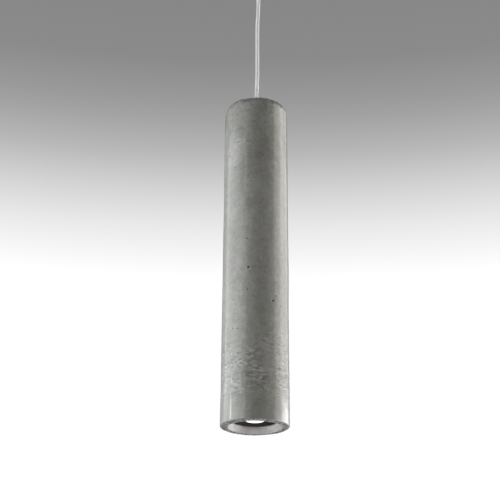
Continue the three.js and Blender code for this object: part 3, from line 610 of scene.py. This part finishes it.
def grip_profile(sign, tip, flange_face, back, back_radius, back_bore):
    """A closed profile from the rounded mouth over the nose, grooved waist and flange to the back end.

    sign is +1 where the back end is above the tip and -1 where it is below.
    """
    def at(distance):
        return tip + sign * distance * MM

    groove = [(6.0, 5.2), (5.6, 5.5), (5.6, 6.0), (6.0, 6.3)]
    grooves = [(r, d + k * 1.6) for k in range(3) for r, d in groove]
    mouth = [(2.7, 3.0), (2.9, 1.4), (3.3, 0.5), (3.7, 0.05)]
    nose = [*mouth, (4.2, 0.0), (4.5, 0.25), (5.4, 2.2), (5.95, 3.9)]
    outer = [(r * MM, at(d)) for r, d in nose + grooves]
    top = flange_face - sign * 2.5 * MM
    edge = sign * 0.3 * MM
    flange = [(6 * MM, top - edge), (6.3 * MM, top), (7.7 * MM, top), (8 * MM, top + edge),
              (8 * MM, flange_face - edge), (7.7 * MM, flange_face)]
    end = [(back_radius, flange_face), (back_radius, back), (back_bore, back)]
    return np.array([*outer, *flange, *end])


def canopy_grip():
    low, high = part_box("canopy_gland")
    flange_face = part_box("canopy_cup")[0].z - GAP
    profile = grip_profile(1, low.z, flange_face, high.z, 4.9 * MM, GRIP_BORE)
    return turned_ring("canopy_cord_grip", profile, 96)


def tube_grip():
    low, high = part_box("top_cord_grip")
    profile = grip_profile(-1, high.z, low.z, low.z, STEM_SOCKET, STEM_SOCKET)[:-3]
    shelf = high.z - 7.2 * MM
    socket = [(STEM_SOCKET, low.z), (STEM_SOCKET, shelf), (GRIP_BORE, shelf)]
    return turned_ring("tube_cord_grip", [*profile, *socket], 96)


stand_in(canopy_grip(), "canopy", "satin_nickel", "canopy_gland")
stand_in(tube_grip(), "pendant", "satin_nickel", "top_cord_grip")

# %% [markdown]
# ## Washers, nuts and the threaded stem
#
# A stamped washer has soft edges. A nut is a hexagon whose corners are turned off at 30 degrees, which is
# what makes the curved lines on a real nut. The stem is a thin tube with a fine thread cut over its whole
# length. A helix would look the same at this size, so the thread is a stack of ridges in the profile.


# %% Washers
def washer(name, node, edge):
    low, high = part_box(node)
    corners = [(STEM_HOLE, low.z), (high.x, low.z), (high.x, high.z), (STEM_HOLE, high.z)]
    return turned_ring(name, rounded(corners, edge), 96)


stand_in(washer("tube_washer", "top_washer", 0.35 * MM), "pendant", "satin_nickel", "top_washer")
stand_in(washer("cup_washer", "canopy_washer", 0.2 * MM), "canopy", "zinc_steel", "canopy_washer")
stand_in(washer("slab_washer", "inner_washer", 0.4 * MM), "pendant", "zinc_steel", "inner_washer")


# %% Nuts
NUT_BORE = 5.2 * MM
NUT_LEAD = 0.4 * MM
CHAMFER_SLOPE = 0.58


def nut(name, node):
    """Hexagon radius = half width / cos(angle from a flat's middle).

    A corner is lower than the face by the chamfer's slope times how far it stands out past the flats.
    """
    low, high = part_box(node)
    half_width = high.y
    angle = full_turn(144)
    hexagon = half_width / np.cos((angle % (np.pi / 3)) - np.pi / 6)
    flat = np.ones_like(angle)
    shoulder = half_width * 0.985
    drop = CHAMFER_SLOPE * (hexagon - shoulder)
    mouth = NUT_BORE + NUT_LEAD
    lower = [NUT_BORE * flat, mouth * flat, shoulder * flat, hexagon]
    radius = np.stack([*lower, *lower[::-1]])
    height = np.stack([(low.z + NUT_LEAD) * flat, low.z * flat, low.z * flat, low.z + drop,
                       high.z - drop, high.z * flat, high.z * flat, (high.z - NUT_LEAD) * flat])
    points = np.stack([radius * np.cos(angle), radius * np.sin(angle), height], -1).reshape(-1, 3)
    return make_piece(name, points, [grid_faces(len(radius), len(angle), True)], 25)


for nut_name, nut_node, nut_body in (
    ("cup_nut", "canopy_lock_nut", "canopy"),
    ("slab_nut", "inner_lock_nut", "pendant"),
    ("bridge_nut_upper", "stem_nut_upper", "pendant"),
    ("bridge_nut_lower", "stem_nut_lower", "pendant"),
):
    stand_in(nut(nut_name, nut_node), nut_body, "zinc_steel", nut_node)


# %% Stem
def threaded_stem():
    """Outer radius = crest - depth (1 + cos(2 pi height / pitch)) / 2, inside a plain bore."""
    low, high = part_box("stem_tube")
    pitch, depth, plain_end = 1 * MM, 0.28 * MM, 0.3 * MM
    crest, bore = high.x, 3.7 * MM
    height = np.linspace(low.z + plain_end, high.z - plain_end, int((high.z - low.z) / pitch) * 4)
    outer = crest - depth * (1 + np.cos(2 * np.pi * height / pitch)) / 2
    root = crest - depth
    profile = [(bore, low.z), (root, low.z), *zip(outer, height), (root, high.z), (bore, high.z)]
    return turned_ring("threaded_stem", profile, 32)


stand_in(threaded_stem(), "pendant", "zinc_steel", "stem_tube")

# %% [markdown]
# ## Wires
#
# In the cup the sheath ends above its nylon stop, and the brown and the blue core arch over to the
# terminal block. At the other end they drop from the stem to the lamp holder. A wire is a round section
# along a smooth curve. The two in the cup join parts that come apart when the cup is let down; they are
# put on neither body.

# %% Wire routes
WIRE_RADIUS = 1.0 * MM
TAIL_TOP_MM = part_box("canopy_cord_tail")[1].z / MM
POLE_MM = 5.5
ENTRY_MM = 12.0
POLE_Z_MM = -7.3


def cup_wire_route(side):
    top = TAIL_TOP_MM + 0.3
    arch = [(0.8, side * 1.5, top + 2.4), (3.6, side * 3, top + 4.6), (7.4, side * 4.9, top + 4)]
    entry = [(ENTRY_MM - 1, side * POLE_MM, POLE_Z_MM), (ENTRY_MM + 3.5, side * POLE_MM, POLE_Z_MM)]
    return [(0, side * 1.3, top), *arch, *entry]


def holder_wire_route(side):
    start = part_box("inner_cord")[0].z / MM - 0.3
    holder_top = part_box("lamp_holder")[1].z / MM
    drop = [(side * 0.9, side * 1.1, start - 2), (side * 3.6, side * 0.5, start - 4.6)]
    return [(0, side * 1.3, start), *drop, (side * 5, 0, holder_top), (side * 5, 0, holder_top - 2)]


def wire(name, route_mm):
    path = even_steps(smooth_route(route_mm, 16) * MM, 60)[0]
    return tube_along(name, path, WIRE_RADIUS, 16)


for wire_name, side, wire_slot in (("live", 1, "brown_wire"), ("neutral", -1, "blue_wire")):
    cup_wire = wire(f"cup_wire_{wire_name}", cup_wire_route(side))
    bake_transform(cup_wire)
    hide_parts(f"canopy_lead_{wire_name}")
    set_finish(cup_wire, wire_slot)
    holder_wire = wire(f"holder_wire_{wire_name}", holder_wire_route(side))
    stand_in(holder_wire, "pendant", wire_slot, f"holder_lead_{wire_name}")


# %% Cord inside the fittings
def inside_cord(name, node, body):
    """A straight length of the same cord between the node's ends. It returns its two twisted cores."""
    low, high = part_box(node)
    line = np.linspace((0, 0, high.z), (0, 0, low.z), 24)
    sheath = tube_along(f"{name}_sheath", line, CORD_RADIUS, 32)
    stand_in(sheath, body, "clear_cord", node)
    strands = [twisted_core(f"{name}_core_{k + 1}", line[[0, -1]], k * np.pi) for k in range(2)]
    for strand in strands:
        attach(strand, body)
        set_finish(strand, "clear_cord")
    return strands


tail_cores = inside_cord("cord_tail", "canopy_cord_tail", "canopy")
stem_cores = inside_cord("stem_cord", "inner_cord", "pendant")

# %% [markdown]
# ## The lamp's shell and the side screws
#
# Behind its face the lamp is a die-cast aluminium shell that narrows to a plastic base. Ribs round the
# taper carry the heat away: they are a wave in the radius that fades out at both ends of the taper. The
# side screws have a knurled head, which is a finer wave of the same kind.


# %% Lamp shell
RIBS = 30
RIB_DEPTH = 0.035


def lamp_shell():
    """Outer radius = profile (1 - depth (1 + cos 30a) / 2) on the taper, round a thin hollow wall."""
    low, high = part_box("lamp_body")
    rim, neck, hole, wall = high.x, 15.5 * MM, 9 * MM, 1.5 * MM
    taper_start, taper_length, step_in = 6 * MM, 24 * MM, 0.3 * MM
    share = np.linspace(0, 1, 22)
    rise = low.z + taper_start + taper_length * share
    outer = rim - step_in - (rim - step_in - neck) * share**1.15
    outside = [(rim, low.z), (rim, low.z + 2 * MM), *zip(outer, rise), (neck, high.z - 0.4 * MM),
               (neck - 0.4 * MM, high.z)]
    inside = [(hole, high.z), (hole, high.z - wall), (neck - 1.7 * MM, high.z - wall),
              *zip(outer[::-3] - 1.9 * MM, rise[::-3] - 0.4 * MM), (rim - wall, low.z)]
    profile = np.array([*outside, *inside])
    fade = np.zeros(len(profile))
    fade[2 : 2 + len(share)] = np.sin(np.pi * share) ** 0.5
    swell = 1 - RIB_DEPTH * fade[:, None] * (1 + np.cos(RIBS * full_turn(240))) / 2
    return turned_ring("lamp_shell", profile, 240, swell)


stand_in(lamp_shell(), "lamp", "lamp_aluminium", "lamp_body")


# %% Side screws
KNURLS = 32
KNURL_DEPTH = 0.04
SCREW_SEAT = 50.4 * MM


def thumb_screw(name, side):
    """A screw along X: the head's radius is r (1 - depth (1 + cos 32a) / 2) between its smooth ends."""
    node_low, node_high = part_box("canopy_screw_right")
    start, end = node_low.x, node_high.x
    shank, head = 2 * MM, 4.5 * MM
    profile = np.array([
        (0, start), (1.6 * MM, start), (shank, start + 0.5 * MM), (shank, SCREW_SEAT), (4.1 * MM, SCREW_SEAT),
        (head, SCREW_SEAT + 0.4 * MM), (head, SCREW_SEAT + 1.6 * MM), (head, SCREW_SEAT + 2.9 * MM),
        (head, end - 0.6 * MM), (4.1 * MM, end - 0.1 * MM), (3.4 * MM, end), (0, end),
    ])
    angles = full_turn(192)
    knurled = np.zeros((len(profile), 1))
    knurled[5:9] = 1
    swell = 1 - KNURL_DEPTH * knurled * (1 + np.cos(KNURLS * angles)) / 2
    screw = turned_solid(name, profile, 192, swell)
    turn = Matrix.Rotation(side * np.pi / 2, 4, "Y")
    screw.data.transform(Matrix.Translation((0, 0, NOTCH_CENTRE_Z)) @ turn)
    return screw


for side_name, side in (("left", -1), ("right", 1)):
    side_screw = thumb_screw(f"side_screw_{side_name}", side)
    stand_in(side_screw, "ceiling_plate", "satin_nickel", f"canopy_screw_{side_name}")

# %% [markdown]
# ## Materials
#
# Each finish is a small network of nodes on the Principled shader. Patterns read Object coordinates, in
# metres, because every piece sits at the origin with its place in its mesh: the pattern then stays put
# when the piece moves. A few helpers keep the networks short.


# %% Node helpers
def finish(name):
    material = bpy.data.materials.new(name)
    material.use_nodes = True
    tree = material.node_tree
    return material, tree, tree.nodes["Principled BSDF"]


def node(tree, kind, settings=None, **inputs):
    """A new node with its settings, and inputs that are values or sockets to link."""
    made = tree.nodes.new(kind)
    for key, value in (settings or {}).items():
        setattr(made, key, value)
    for key, value in inputs.items():
        socket = made.inputs[int(key[1:])] if key[0] == "_" else made.inputs[key]
        if isinstance(value, bpy.types.NodeSocket):
            tree.links.new(value, socket)
        else:
            socket.default_value = value
    return made


def place(tree, scale=(1, 1, 1), turn=(0, 0, 0)):
    coordinates = tree.nodes.new("ShaderNodeTexCoord").outputs["Object"]
    return node(tree, "ShaderNodeMapping", Vector=coordinates, Scale=scale, Rotation=turn).outputs["Vector"]


def noise(tree, vector, scale, detail=3.0, roughness=0.55, distortion=0.0):
    made = node(tree, "ShaderNodeTexNoise", Vector=vector, Scale=scale, Detail=detail,
                Roughness=roughness, Distortion=distortion)
    return made.outputs["Fac"]


def ramp(tree, factor, stops):
    """A colour ramp with (position, grey or colour) stops."""
    made = node(tree, "ShaderNodeValToRGB", Fac=factor)
    elements = made.color_ramp.elements
    while len(elements) < len(stops):
        elements.new(0.5)
    for element, (position, colour) in zip(elements, stops):
        element.position = position
        element.color = (*colour, 1) if isinstance(colour, tuple) else (colour, colour, colour, 1)
    return made.outputs["Color"]


def mix(tree, factor, a, b, blend="MIX"):
    made = tree.nodes.new("ShaderNodeMix")
    made.data_type = "RGBA"
    made.blend_type = blend
    for socket, value in ((made.inputs[0], factor), (made.inputs[6], a), (made.inputs[7], b)):
        if isinstance(value, bpy.types.NodeSocket):
            tree.links.new(value, socket)
        elif isinstance(value, tuple):
            socket.default_value = (*value, 1)
        else:
            socket.default_value = value
    return made.outputs[2]


def maths(tree, operation, a, b=0.0):
    return node(tree, "ShaderNodeMath", {"operation": operation}, _0=a, _1=b).outputs[0]


def times(tree, a, b):
    return maths(tree, "MULTIPLY", a, b)


def bump(tree, height, strength, distance, normal=None):
    made = node(tree, "ShaderNodeBump", Height=height, Strength=strength, Distance=distance)
    if normal is not None:
        tree.links.new(normal, made.inputs["Normal"])
    return made.outputs["Normal"]


# %% [markdown]
# ### Concrete
#
# Cast concrete is a mix of greys at several sizes: slow clouds a hand wide, streaks that ran down the
# mould, and sand at a millimetre. A thin lacquer gives it a soft shine. The colour is built in the same
# order, from the largest noise to the smallest, with painted shade in the pores and in the pits that the
# mesh carries as an attribute. The lip has its own grey. The worn edges get darker greys, which are painted
# shade, and the flare a paler, pinker grey, partly painted glow from the lamp. The lacquer is the shader's
# coat, smoother than the concrete under it, and nearly absent on those bare edges.


# %% Concrete
def mark(tree, name):
    return node(tree, "ShaderNodeAttribute", {"attribute_name": name}).outputs["Fac"]


def overlay(tree, strength, base, factor, stops):
    """Lightens and darkens the base by a ramp whose middle grey changes nothing."""
    return mix(tree, strength, base, ramp(tree, factor, stops), "OVERLAY")


def rise_up(tree, even):
    """0 at the mouth and 1 at the top of the tube."""
    height = node(tree, "ShaderNodeSeparateXYZ", Vector=even).outputs["Z"]
    return maths(tree, "DIVIDE", maths(tree, "SUBTRACT", height, MOUTH_HEIGHT), TUBE_LENGTH)


def ripple_zone(tree, even):
    """Where the slurry left ripples: patches of the lowest quarter of the tube."""
    band = ramp(tree, rise_up(tree, even), [(0.04, 0.0), (0.1, 1.0), (0.2, 1.0), (0.27, 0.0)])
    patches = ramp(tree, noise(tree, even, 40, 3, 0.6, 0.4), [(0.42, 0.0), (0.56, 1.0)])
    return times(tree, band, patches)


DARK_CLOUD = (0.28, 0.277, 0.26)
MID_CLOUD = (0.338, 0.336, 0.316)
PALE_CLOUD = (0.395, 0.394, 0.374)
GREEN_GREY = (0.315, 0.328, 0.28)
# Painted shade: the grey that darkens the pores.
PORE_SHADE_GREY = (0.1, 0.098, 0.09)
# Painted shade: the near-black that darkens the pits.
PIT_SHADE_GREY = (0.03, 0.03, 0.028)
# Painted shade: the darker greys on the worn edges at the top and the foot; the wear itself is in the mesh.
WORN_EDGE_SHADE_GREYS = [(0.35, (0.13, 0.13, 0.12)), (0.65, (0.3, 0.3, 0.285))]
LIP_GREYS = [(0.36, (0.08, 0.078, 0.075)), (0.5, (0.22, 0.217, 0.213)), (0.6, (0.52, 0.512, 0.502))]
# Partly painted light: a paler, pinker grey than the wall, its pink standing in for the lamp's glow.
FLARE_GREY_AND_GLOW = (0.58, 0.552, 0.536)
BLOTCH_STOPS = [(0.32, 0.3), (0.5, 0.5), (0.68, 0.7)]


def concrete_finish():
    material, tree, shader = finish("lacquered_concrete")
    even, tall = place(tree), place(tree, (1, 1, 0.4))
    clouds = noise(tree, tall, 26, 4, 0.6, 0.8)
    blotches = noise(tree, even, 90, 5, 0.65, 0.5)
    mottle = noise(tree, even, 260, 4, 0.62, 0.7)
    sand = noise(tree, even, 900, 3, 0.7)
    hue = noise(tree, place(tree, (1, 1, 0.6)), 48, 3, 0.6)
    base = ramp(tree, clouds, [(0.3, DARK_CLOUD), (0.5, MID_CLOUD), (0.7, PALE_CLOUD)])
    base = mix(tree, ramp(tree, hue, [(0.46, 0.0), (0.64, 0.5)]), base, GREEN_GREY)
    rise = rise_up(tree, even)
    base = overlay(tree, 0.3, base, blotches, BLOTCH_STOPS)
    busy_by_height = [(0.04, 0.2), (0.16, 0.4), (0.32, 0.25), (0.62, 0.2), (0.85, 0.35), (0.97, 0.45)]
    busy = ramp(tree, rise, busy_by_height)
    base = overlay(tree, busy, base, mottle, [(0.3, 0.26), (0.5, 0.5), (0.7, 0.74)])
    base = overlay(tree, 0.25, base, sand, [(0.3, 0.3), (0.5, 0.5), (0.7, 0.7)])
    ripples = noise(tree, place(tree, (1, 1, 3.4), (0, 0.35, 0)), 105, 2, 0.45, 1.2)
    zone = ripple_zone(tree, even)
    base = overlay(tree, times(tree, zone, 0.62), base, ripples, [(0.36, 0.22), (0.5, 0.5), (0.64, 0.78)])
    pores = node(tree, "ShaderNodeTexVoronoi", Vector=even, Scale=240.0)
    small = ramp(tree, pores.outputs["Distance"], [(0.12, 1.0), (0.24, 0.0)])
    where = ramp(tree, noise(tree, even, 55, 2), [(0.54, 0.0), (0.64, 1.0)])
    pore_mask = times(tree, small, where)
    # Painted shade in the pores.
    base = mix(tree, times(tree, pore_mask, 0.5), base, PORE_SHADE_GREY)
    # Painted shade on the worn edges.
    base = mix(tree, times(tree, mark(tree, "worn"), 0.85), base, ramp(tree, mottle, WORN_EDGE_SHADE_GREYS))
    speckle = noise(tree, even, 330, 3, 0.6)
    base = mix(tree, mark(tree, "lip"), base, ramp(tree, speckle, LIP_GREYS))
    # Partly painted light: the flare's paler, pinker grey.
    base = mix(tree, mark(tree, "flare"), base, overlay(tree, 0.5, FLARE_GREY_AND_GLOW, blotches, BLOTCH_STOPS))
    # Painted shade in the pits.
    base = mix(tree, ramp(tree, mark(tree, "pit"), [(0.05, 0.0), (0.4, 0.92)]), base, PIT_SHADE_GREY)
    tree.links.new(base, shader.inputs["Base Color"])
    tree.links.new(ramp(tree, mottle, [(0.3, 0.42), (0.7, 0.62)]), shader.inputs["Roughness"])
    height = maths(tree, "ADD", times(tree, mottle, 0.6), times(tree, sand, 0.25))
    height = maths(tree, "ADD", height, times(tree, times(tree, ripples, zone), 0.5))
    height = maths(tree, "SUBTRACT", height, times(tree, pore_mask, 0.9))
    slow_bump = bump(tree, blotches, 0.5, 1 * MM)
    tree.links.new(bump(tree, height, 0.5, 0.6 * MM, slow_bump), shader.inputs["Normal"])
    tree.links.new(bump(tree, blotches, 0.5, 0.08 * MM), shader.inputs["Coat Normal"])
    worn_or_flare = maths(tree, "MAXIMUM", mark(tree, "worn"), mark(tree, "flare"))
    bare = maths(tree, "MAXIMUM", mark(tree, "lip"), worn_or_flare)
    lacquer = ramp(tree, bare, [(0.0, 0.85), (0.6, 0.06)])
    tree.links.new(lacquer, shader.inputs["Coat Weight"])
    shader.inputs["Coat Roughness"].default_value = 0.16
    shader.inputs["Coat IOR"].default_value = 1.6
    shader.inputs["Specular IOR Level"].default_value = 0.2
    return material


casting.data.materials.append(concrete_finish())

# %% [markdown]
# ### Clear sheath and tinned cores
#
# The sheath is clear vinyl that has gone milky: some light goes through it, and most scatters inside it.
# A clear shader with a coloured core would be nearer to new cord. The cores are fine tinned strands, a
# dull pale metal with ridges that run along them.


# %% Cord finishes
def clear_vinyl():
    material, tree, shader = finish("clear_vinyl")
    haze = noise(tree, place(tree, (1, 1, 0.2)), 300, 2)
    tree.links.new(ramp(tree, haze, [(0.3, 0.12), (0.7, 0.24)]), shader.inputs["Roughness"])
    tree.links.new(bump(tree, haze, 0.2, 0.0001), shader.inputs["Normal"])
    shader.inputs["Base Color"].default_value = (0.86, 0.865, 0.86, 1)
    shader.inputs["Transmission Weight"].default_value = 0.15
    shader.inputs["Subsurface Weight"].default_value = 0.9
    shader.inputs["Subsurface Radius"].default_value = (1, 1, 1)
    shader.inputs["Subsurface Scale"].default_value = 0.004
    shader.inputs["IOR"].default_value = 1.2
    return material


def tinned_strands():
    material, tree, shader = finish("tinned_strands")
    lines = noise(tree, place(tree, (1, 1, 0.06)), 2600, 2)
    tree.links.new(ramp(tree, lines, [(0.35, 0.78), (0.65, 0.95)]), shader.inputs["Base Color"])
    tree.links.new(bump(tree, lines, 0.5, 0.0002), shader.inputs["Normal"])
    shader.inputs["Metallic"].default_value = 0.2
    shader.inputs["Roughness"].default_value = 0.45
    return material


vinyl, tin = clear_vinyl(), tinned_strands()
cord_sheath.data.materials.append(vinyl)
for core in (*cores, *tail_cores, *stem_cores):
    core.data.materials.append(tin)

# %% [markdown]
# ### Metals
#
# Nickel on a spun or turned piece has rings round its axis, so its noise is stretched round the piece by
# reading only the height and the distance from the axis. Zinc plate is cloudier. Brass is machined, and
# the lamp's shell is a duller alloy. All share one builder with a different colour and pattern.


# %% Metal finishes
def round_axis(tree):
    """Distance from the Z axis and height, as a vector, so that noise on it makes rings."""
    split = node(tree, "ShaderNodeSeparateXYZ", Vector=place(tree))
    x2 = times(tree, split.outputs["X"], split.outputs["X"])
    y2 = times(tree, split.outputs["Y"], split.outputs["Y"])
    radius = maths(tree, "SQRT", maths(tree, "ADD", x2, y2))
    return node(tree, "ShaderNodeCombineXYZ", X=radius, Z=split.outputs["Z"]).outputs["Vector"]


def plated_metal(name, colours, roughness, rings, depth=0.00005):
    material, tree, shader = finish(name)
    vector = round_axis(tree) if rings else place(tree)
    fine = noise(tree, vector, 1400 if rings else 500, 3, 0.6)
    clouds = noise(tree, place(tree), 60, 3, 0.6)
    tree.links.new(ramp(tree, clouds, [(0.35, colours[0]), (0.65, colours[1])]), shader.inputs["Base Color"])
    tree.links.new(ramp(tree, fine, [(0.3, roughness[0]), (0.7, roughness[1])]), shader.inputs["Roughness"])
    tree.links.new(bump(tree, fine, 0.35, depth), shader.inputs["Normal"])
    shader.inputs["Metallic"].default_value = 1.0
    return material


nickel = plated_metal("satin_nickel", ((0.56, 0.55, 0.53), (0.64, 0.63, 0.6)), (0.26, 0.4), True)
zinc = plated_metal("bright_zinc", ((0.5, 0.51, 0.52), (0.66, 0.67, 0.68)), (0.28, 0.5), False)
brass = plated_metal("machined_brass", ((0.66, 0.48, 0.22), (0.78, 0.6, 0.32)), (0.22, 0.38), True)
lamp_alloy = plated_metal("lamp_alloy", ((0.42, 0.42, 0.43), (0.52, 0.52, 0.53)), (0.3, 0.5), True)


# %% [markdown]
# ### Mouldings and the lens
#
# Nylon, ceramic, the black ring and the wires' vinyl are each one tone with a slow drift in it and a fine
# grain in their shine. One builder makes them all. The lens is frosted and lit from behind, so it glows
# evenly. A bright lamp behind a clear lens would be truer, but it would be slow and noisy to render.


# %% Plastics, ceramic and glass
def moulded(name, colours, roughness, scale=200, depth=0.0001):
    material, tree, shader = finish(name)
    tone = noise(tree, place(tree), scale, 3, 0.6)
    fine = noise(tree, place(tree), scale * 12, 2, 0.6)
    tree.links.new(ramp(tree, tone, [(0.3, colours[0]), (0.7, colours[1])]), shader.inputs["Base Color"])
    tree.links.new(ramp(tree, fine, [(0.3, roughness[0]), (0.7, roughness[1])]), shader.inputs["Roughness"])
    tree.links.new(bump(tree, fine, 0.3, depth), shader.inputs["Normal"])
    return material


nylon = moulded("natural_nylon", ((0.76, 0.75, 0.7), (0.84, 0.83, 0.79)), (0.4, 0.55))
steatite = moulded("steatite", ((0.72, 0.69, 0.62), (0.82, 0.79, 0.72)), (0.5, 0.75), 90, 0.0003)
black_ring = moulded("black_moulding", ((0.003, 0.003, 0.003), (0.006, 0.0056, 0.005)), (0.6, 0.8), 150)
brown_vinyl = moulded("brown_vinyl", ((0.12, 0.05, 0.025), (0.16, 0.07, 0.035)), (0.3, 0.42))
blue_vinyl = moulded("blue_vinyl", ((0.02, 0.1, 0.36), (0.03, 0.14, 0.45)), (0.3, 0.42))
board_coat = moulded("board_coat", ((0.7, 0.7, 0.67), (0.8, 0.8, 0.77)), (0.4, 0.6))


def lit_lens():
    material, tree, shader = finish("lit_frosted_lens")
    frost = noise(tree, place(tree), 1500, 2)
    tree.links.new(ramp(tree, frost, [(0.3, (1.0, 0.97, 0.92)), (0.7, (1.0, 0.985, 0.95))]),
                   shader.inputs["Emission Color"])
    tree.links.new(bump(tree, frost, 0.3, 0.0001), shader.inputs["Normal"])
    shader.inputs["Emission Strength"].default_value = 1.0
    shader.inputs["Base Color"].default_value = (0.9, 0.9, 0.88, 1)
    shader.inputs["Roughness"].default_value = 0.45
    return material


lens_glow = lit_lens()

# %% [markdown]
# ### Which piece gets which finish
#
# The CAD nodes that stay as they are take their finishes from the record's slots, and the pieces made
# above that have no finish yet take theirs from their own slots.

# %% Dress the pieces
SLOT_FINISH = {
    "satin_nickel": nickel,
    "zinc_steel": zinc,
    "brass": brass,
    "nylon": nylon,
    "ceramic": steatite,
    "clear_cord": vinyl,
    "brown_wire": brown_vinyl,
    "blue_wire": blue_vinyl,
    "lamp_aluminium": lamp_alloy,
    "lamp_base_plastic": nylon,
    "dark_bezel": black_ring,
    "frosted_lens": lens_glow,
    "board": board_coat,
}


def dress(piece, slot_name):
    if slot_name in SLOT_FINISH and not (len(piece.data.materials) and "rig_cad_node" not in piece):
        piece.data.materials.clear()
        piece.data.materials.append(SLOT_FINISH[slot_name])


for entry in frame["record"]["subparts"]:
    dress(frame["nodes"][entry["node"]], entry["material_slot"])
for piece in list(bpy.data.objects):
    if piece.type == "MESH" and "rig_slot" in piece:
        dress(piece, piece["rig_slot"])
print("finishes", sorted(material.name for material in bpy.data.materials))

# %% [markdown]
# ## Studio
#
# A wide pale floor lies far below. Behind the light the air grades from white at eye level to grey above,
# which is the world's own colour by height. Wide soft sources at the left and the right shape the tube,
# and leave a dark band between them. Smaller ones soften the edges of those reflections, and light the
# mouth's flare from low down. A tiny one draws a short bright line near the foot. One overhead lights the
# tops.
#
# The studio is arranged and not physical. The floor's own light could be left to reach the tube, but it
# would fill the dark band. So each light is linked either to the floor alone or to everything except the
# floor, and the floor is hidden from the diffuse and glossy rays of the pieces. The world that the eye
# sees is also brighter than the world that lights them.

# %% Floor and world
FLOOR_DROP = 1.75
FLOOR_REACH = 40
corner_signs = ((-1, -1), (1, -1), (1, 1), (-1, 1))
floor_corners = [(x * FLOOR_REACH, y * FLOOR_REACH, -FLOOR_DROP) for x, y in corner_signs]
floor_mesh = bpy.data.meshes.new("floor")
floor_mesh.from_pydata(floor_corners, [], [(0, 1, 2, 3)])
floor = bpy.data.objects.new("floor", floor_mesh)
bpy.context.scene.collection.objects.link(floor)
pale_floor = moulded("pale_floor", ((0.78, 0.78, 0.78), (0.82, 0.82, 0.82)), (0.7, 0.8), 3, 1 * MM)
floor.data.materials.append(pale_floor)
floor.visible_diffuse = False
floor.visible_glossy = False


# each step: the upward part of the direction looked in, and the grey there
AIR_GREYS = [
    (0.375, 1.0), (0.418, 0.81), (0.449, 0.644), (0.479, 0.473),
    (0.506, 0.366), (0.522, 0.318), (0.553, 0.256), (0.6, 0.242),
]
FILL_STRENGTH = 0.11
FILL_TINT = (1.0, 0.93, 0.85)


def studio_world():
    """White up to eye level and grey above for the eye; the same grading, dimmer and warmer, as fill."""
    world = bpy.data.worlds.new("studio")
    bpy.context.scene.world = world
    world.use_nodes = True
    tree = world.node_tree
    tree.nodes.clear()
    direction = tree.nodes.new("ShaderNodeTexCoord").outputs["Generated"]
    rise = node(tree, "ShaderNodeSeparateXYZ", Vector=direction).outputs["Z"]
    grade = ramp(tree, rise, AIR_GREYS)
    seen = node(tree, "ShaderNodeBackground", Color=grade, Strength=1.0)
    warm = mix(tree, 1.0, grade, FILL_TINT, "MULTIPLY")
    fill = node(tree, "ShaderNodeBackground", Color=warm, Strength=FILL_STRENGTH)
    eye_ray = tree.nodes.new("ShaderNodeLightPath").outputs["Is Camera Ray"]
    both = node(tree, "ShaderNodeMixShader", _0=eye_ray, _1=fill.outputs[0], _2=seen.outputs[0])
    output = tree.nodes.new("ShaderNodeOutputWorld")
    tree.links.new(both.outputs[0], output.inputs["Surface"])


studio_world()


# %% Lights
floor_only = bpy.data.collections.new("floor_only")
floor_only.objects.link(floor)
all_but_floor = bpy.data.collections.new("all_but_floor")
all_but_floor.objects.link(floor)
all_but_floor.collection_objects[0].light_linking.link_state = "EXCLUDE"


FLOOR_SUN_STRENGTH = 3.4
FLOOR_SUN_SPREAD_DEG = 60


def floor_light():
    """A very wide sun straight above, for the floor alone."""
    sun = bpy.data.objects.new("floor_light", bpy.data.lights.new("floor_light", "SUN"))
    bpy.context.scene.collection.objects.link(sun)
    sun.data.energy = FLOOR_SUN_STRENGTH
    sun.data.angle = np.radians(FLOOR_SUN_SPREAD_DEG)
    sun.light_linking.receiver_collection = floor_only


def soft_source(name, turn_deg, distance, height, size, watts, colour):
    """A rectangular source at an angle round from the front, facing the tube's middle, not the floor."""
    source = bpy.data.objects.new(name, bpy.data.lights.new(name, "AREA"))
    bpy.context.scene.collection.objects.link(source)
    source.data.shape = "RECTANGLE"
    source.data.size, source.data.size_y = size
    source.data.energy = watts
    source.data.color = colour
    turn = np.radians(turn_deg)
    source.location = (distance * np.sin(turn), -distance * np.cos(turn), height)
    aim = Vector((0, 0, MOUTH_HEIGHT + TUBE_LENGTH / 2)) - source.location
    source.rotation_euler = aim.to_track_quat("-Z", "Y").to_euler()
    source.visible_camera = False
    source.light_linking.receiver_collection = all_but_floor


COOL_WHITE = (0.96, 0.985, 1.0)
WARM_WHITE = (1.0, 0.93, 0.84)
floor_light()
soft_source("left_soft", -87, 1.6, -0.45, (2.5, 2.2), 32, COOL_WHITE)
soft_source("left_line", -86, 1.6, -0.22, (0.025, 0.08), 0.45, COOL_WHITE)
soft_source("left_low", -82, 1.0, -1.15, (0.45, 0.45), 4.5, COOL_WHITE)
soft_source("right_low", 84, 1.0, -1.15, (0.45, 0.45), 4.5, COOL_WHITE)
soft_source("left_front", -41, 1.6, -0.45, (0.5, 2.2), 3.4, COOL_WHITE)
soft_source("left_edge", -143, 1.6, -0.45, (1.0, 2.2), 2.2, COOL_WHITE)
soft_source("right_front", 91, 1.5, 0.0, (1.15, 1.7), 8.5, WARM_WHITE)
soft_source("right_edge", 120, 1.6, -0.9, (1.5, 1.6), 37, COOL_WHITE)
soft_source("right_middle", 119, 1.6, 0.2, (1.5, 0.6), 3.2, COOL_WHITE)
soft_source("right_high", 119, 1.6, 0.8, (1.5, 0.6), 2.2, COOL_WHITE)
soft_source("overhead", 0, 0.02, 2.4, (1.6, 1.6), 34, COOL_WHITE)
bpy.context.scene.view_settings.view_transform = "Standard"
print("lights", len(bpy.data.lights))
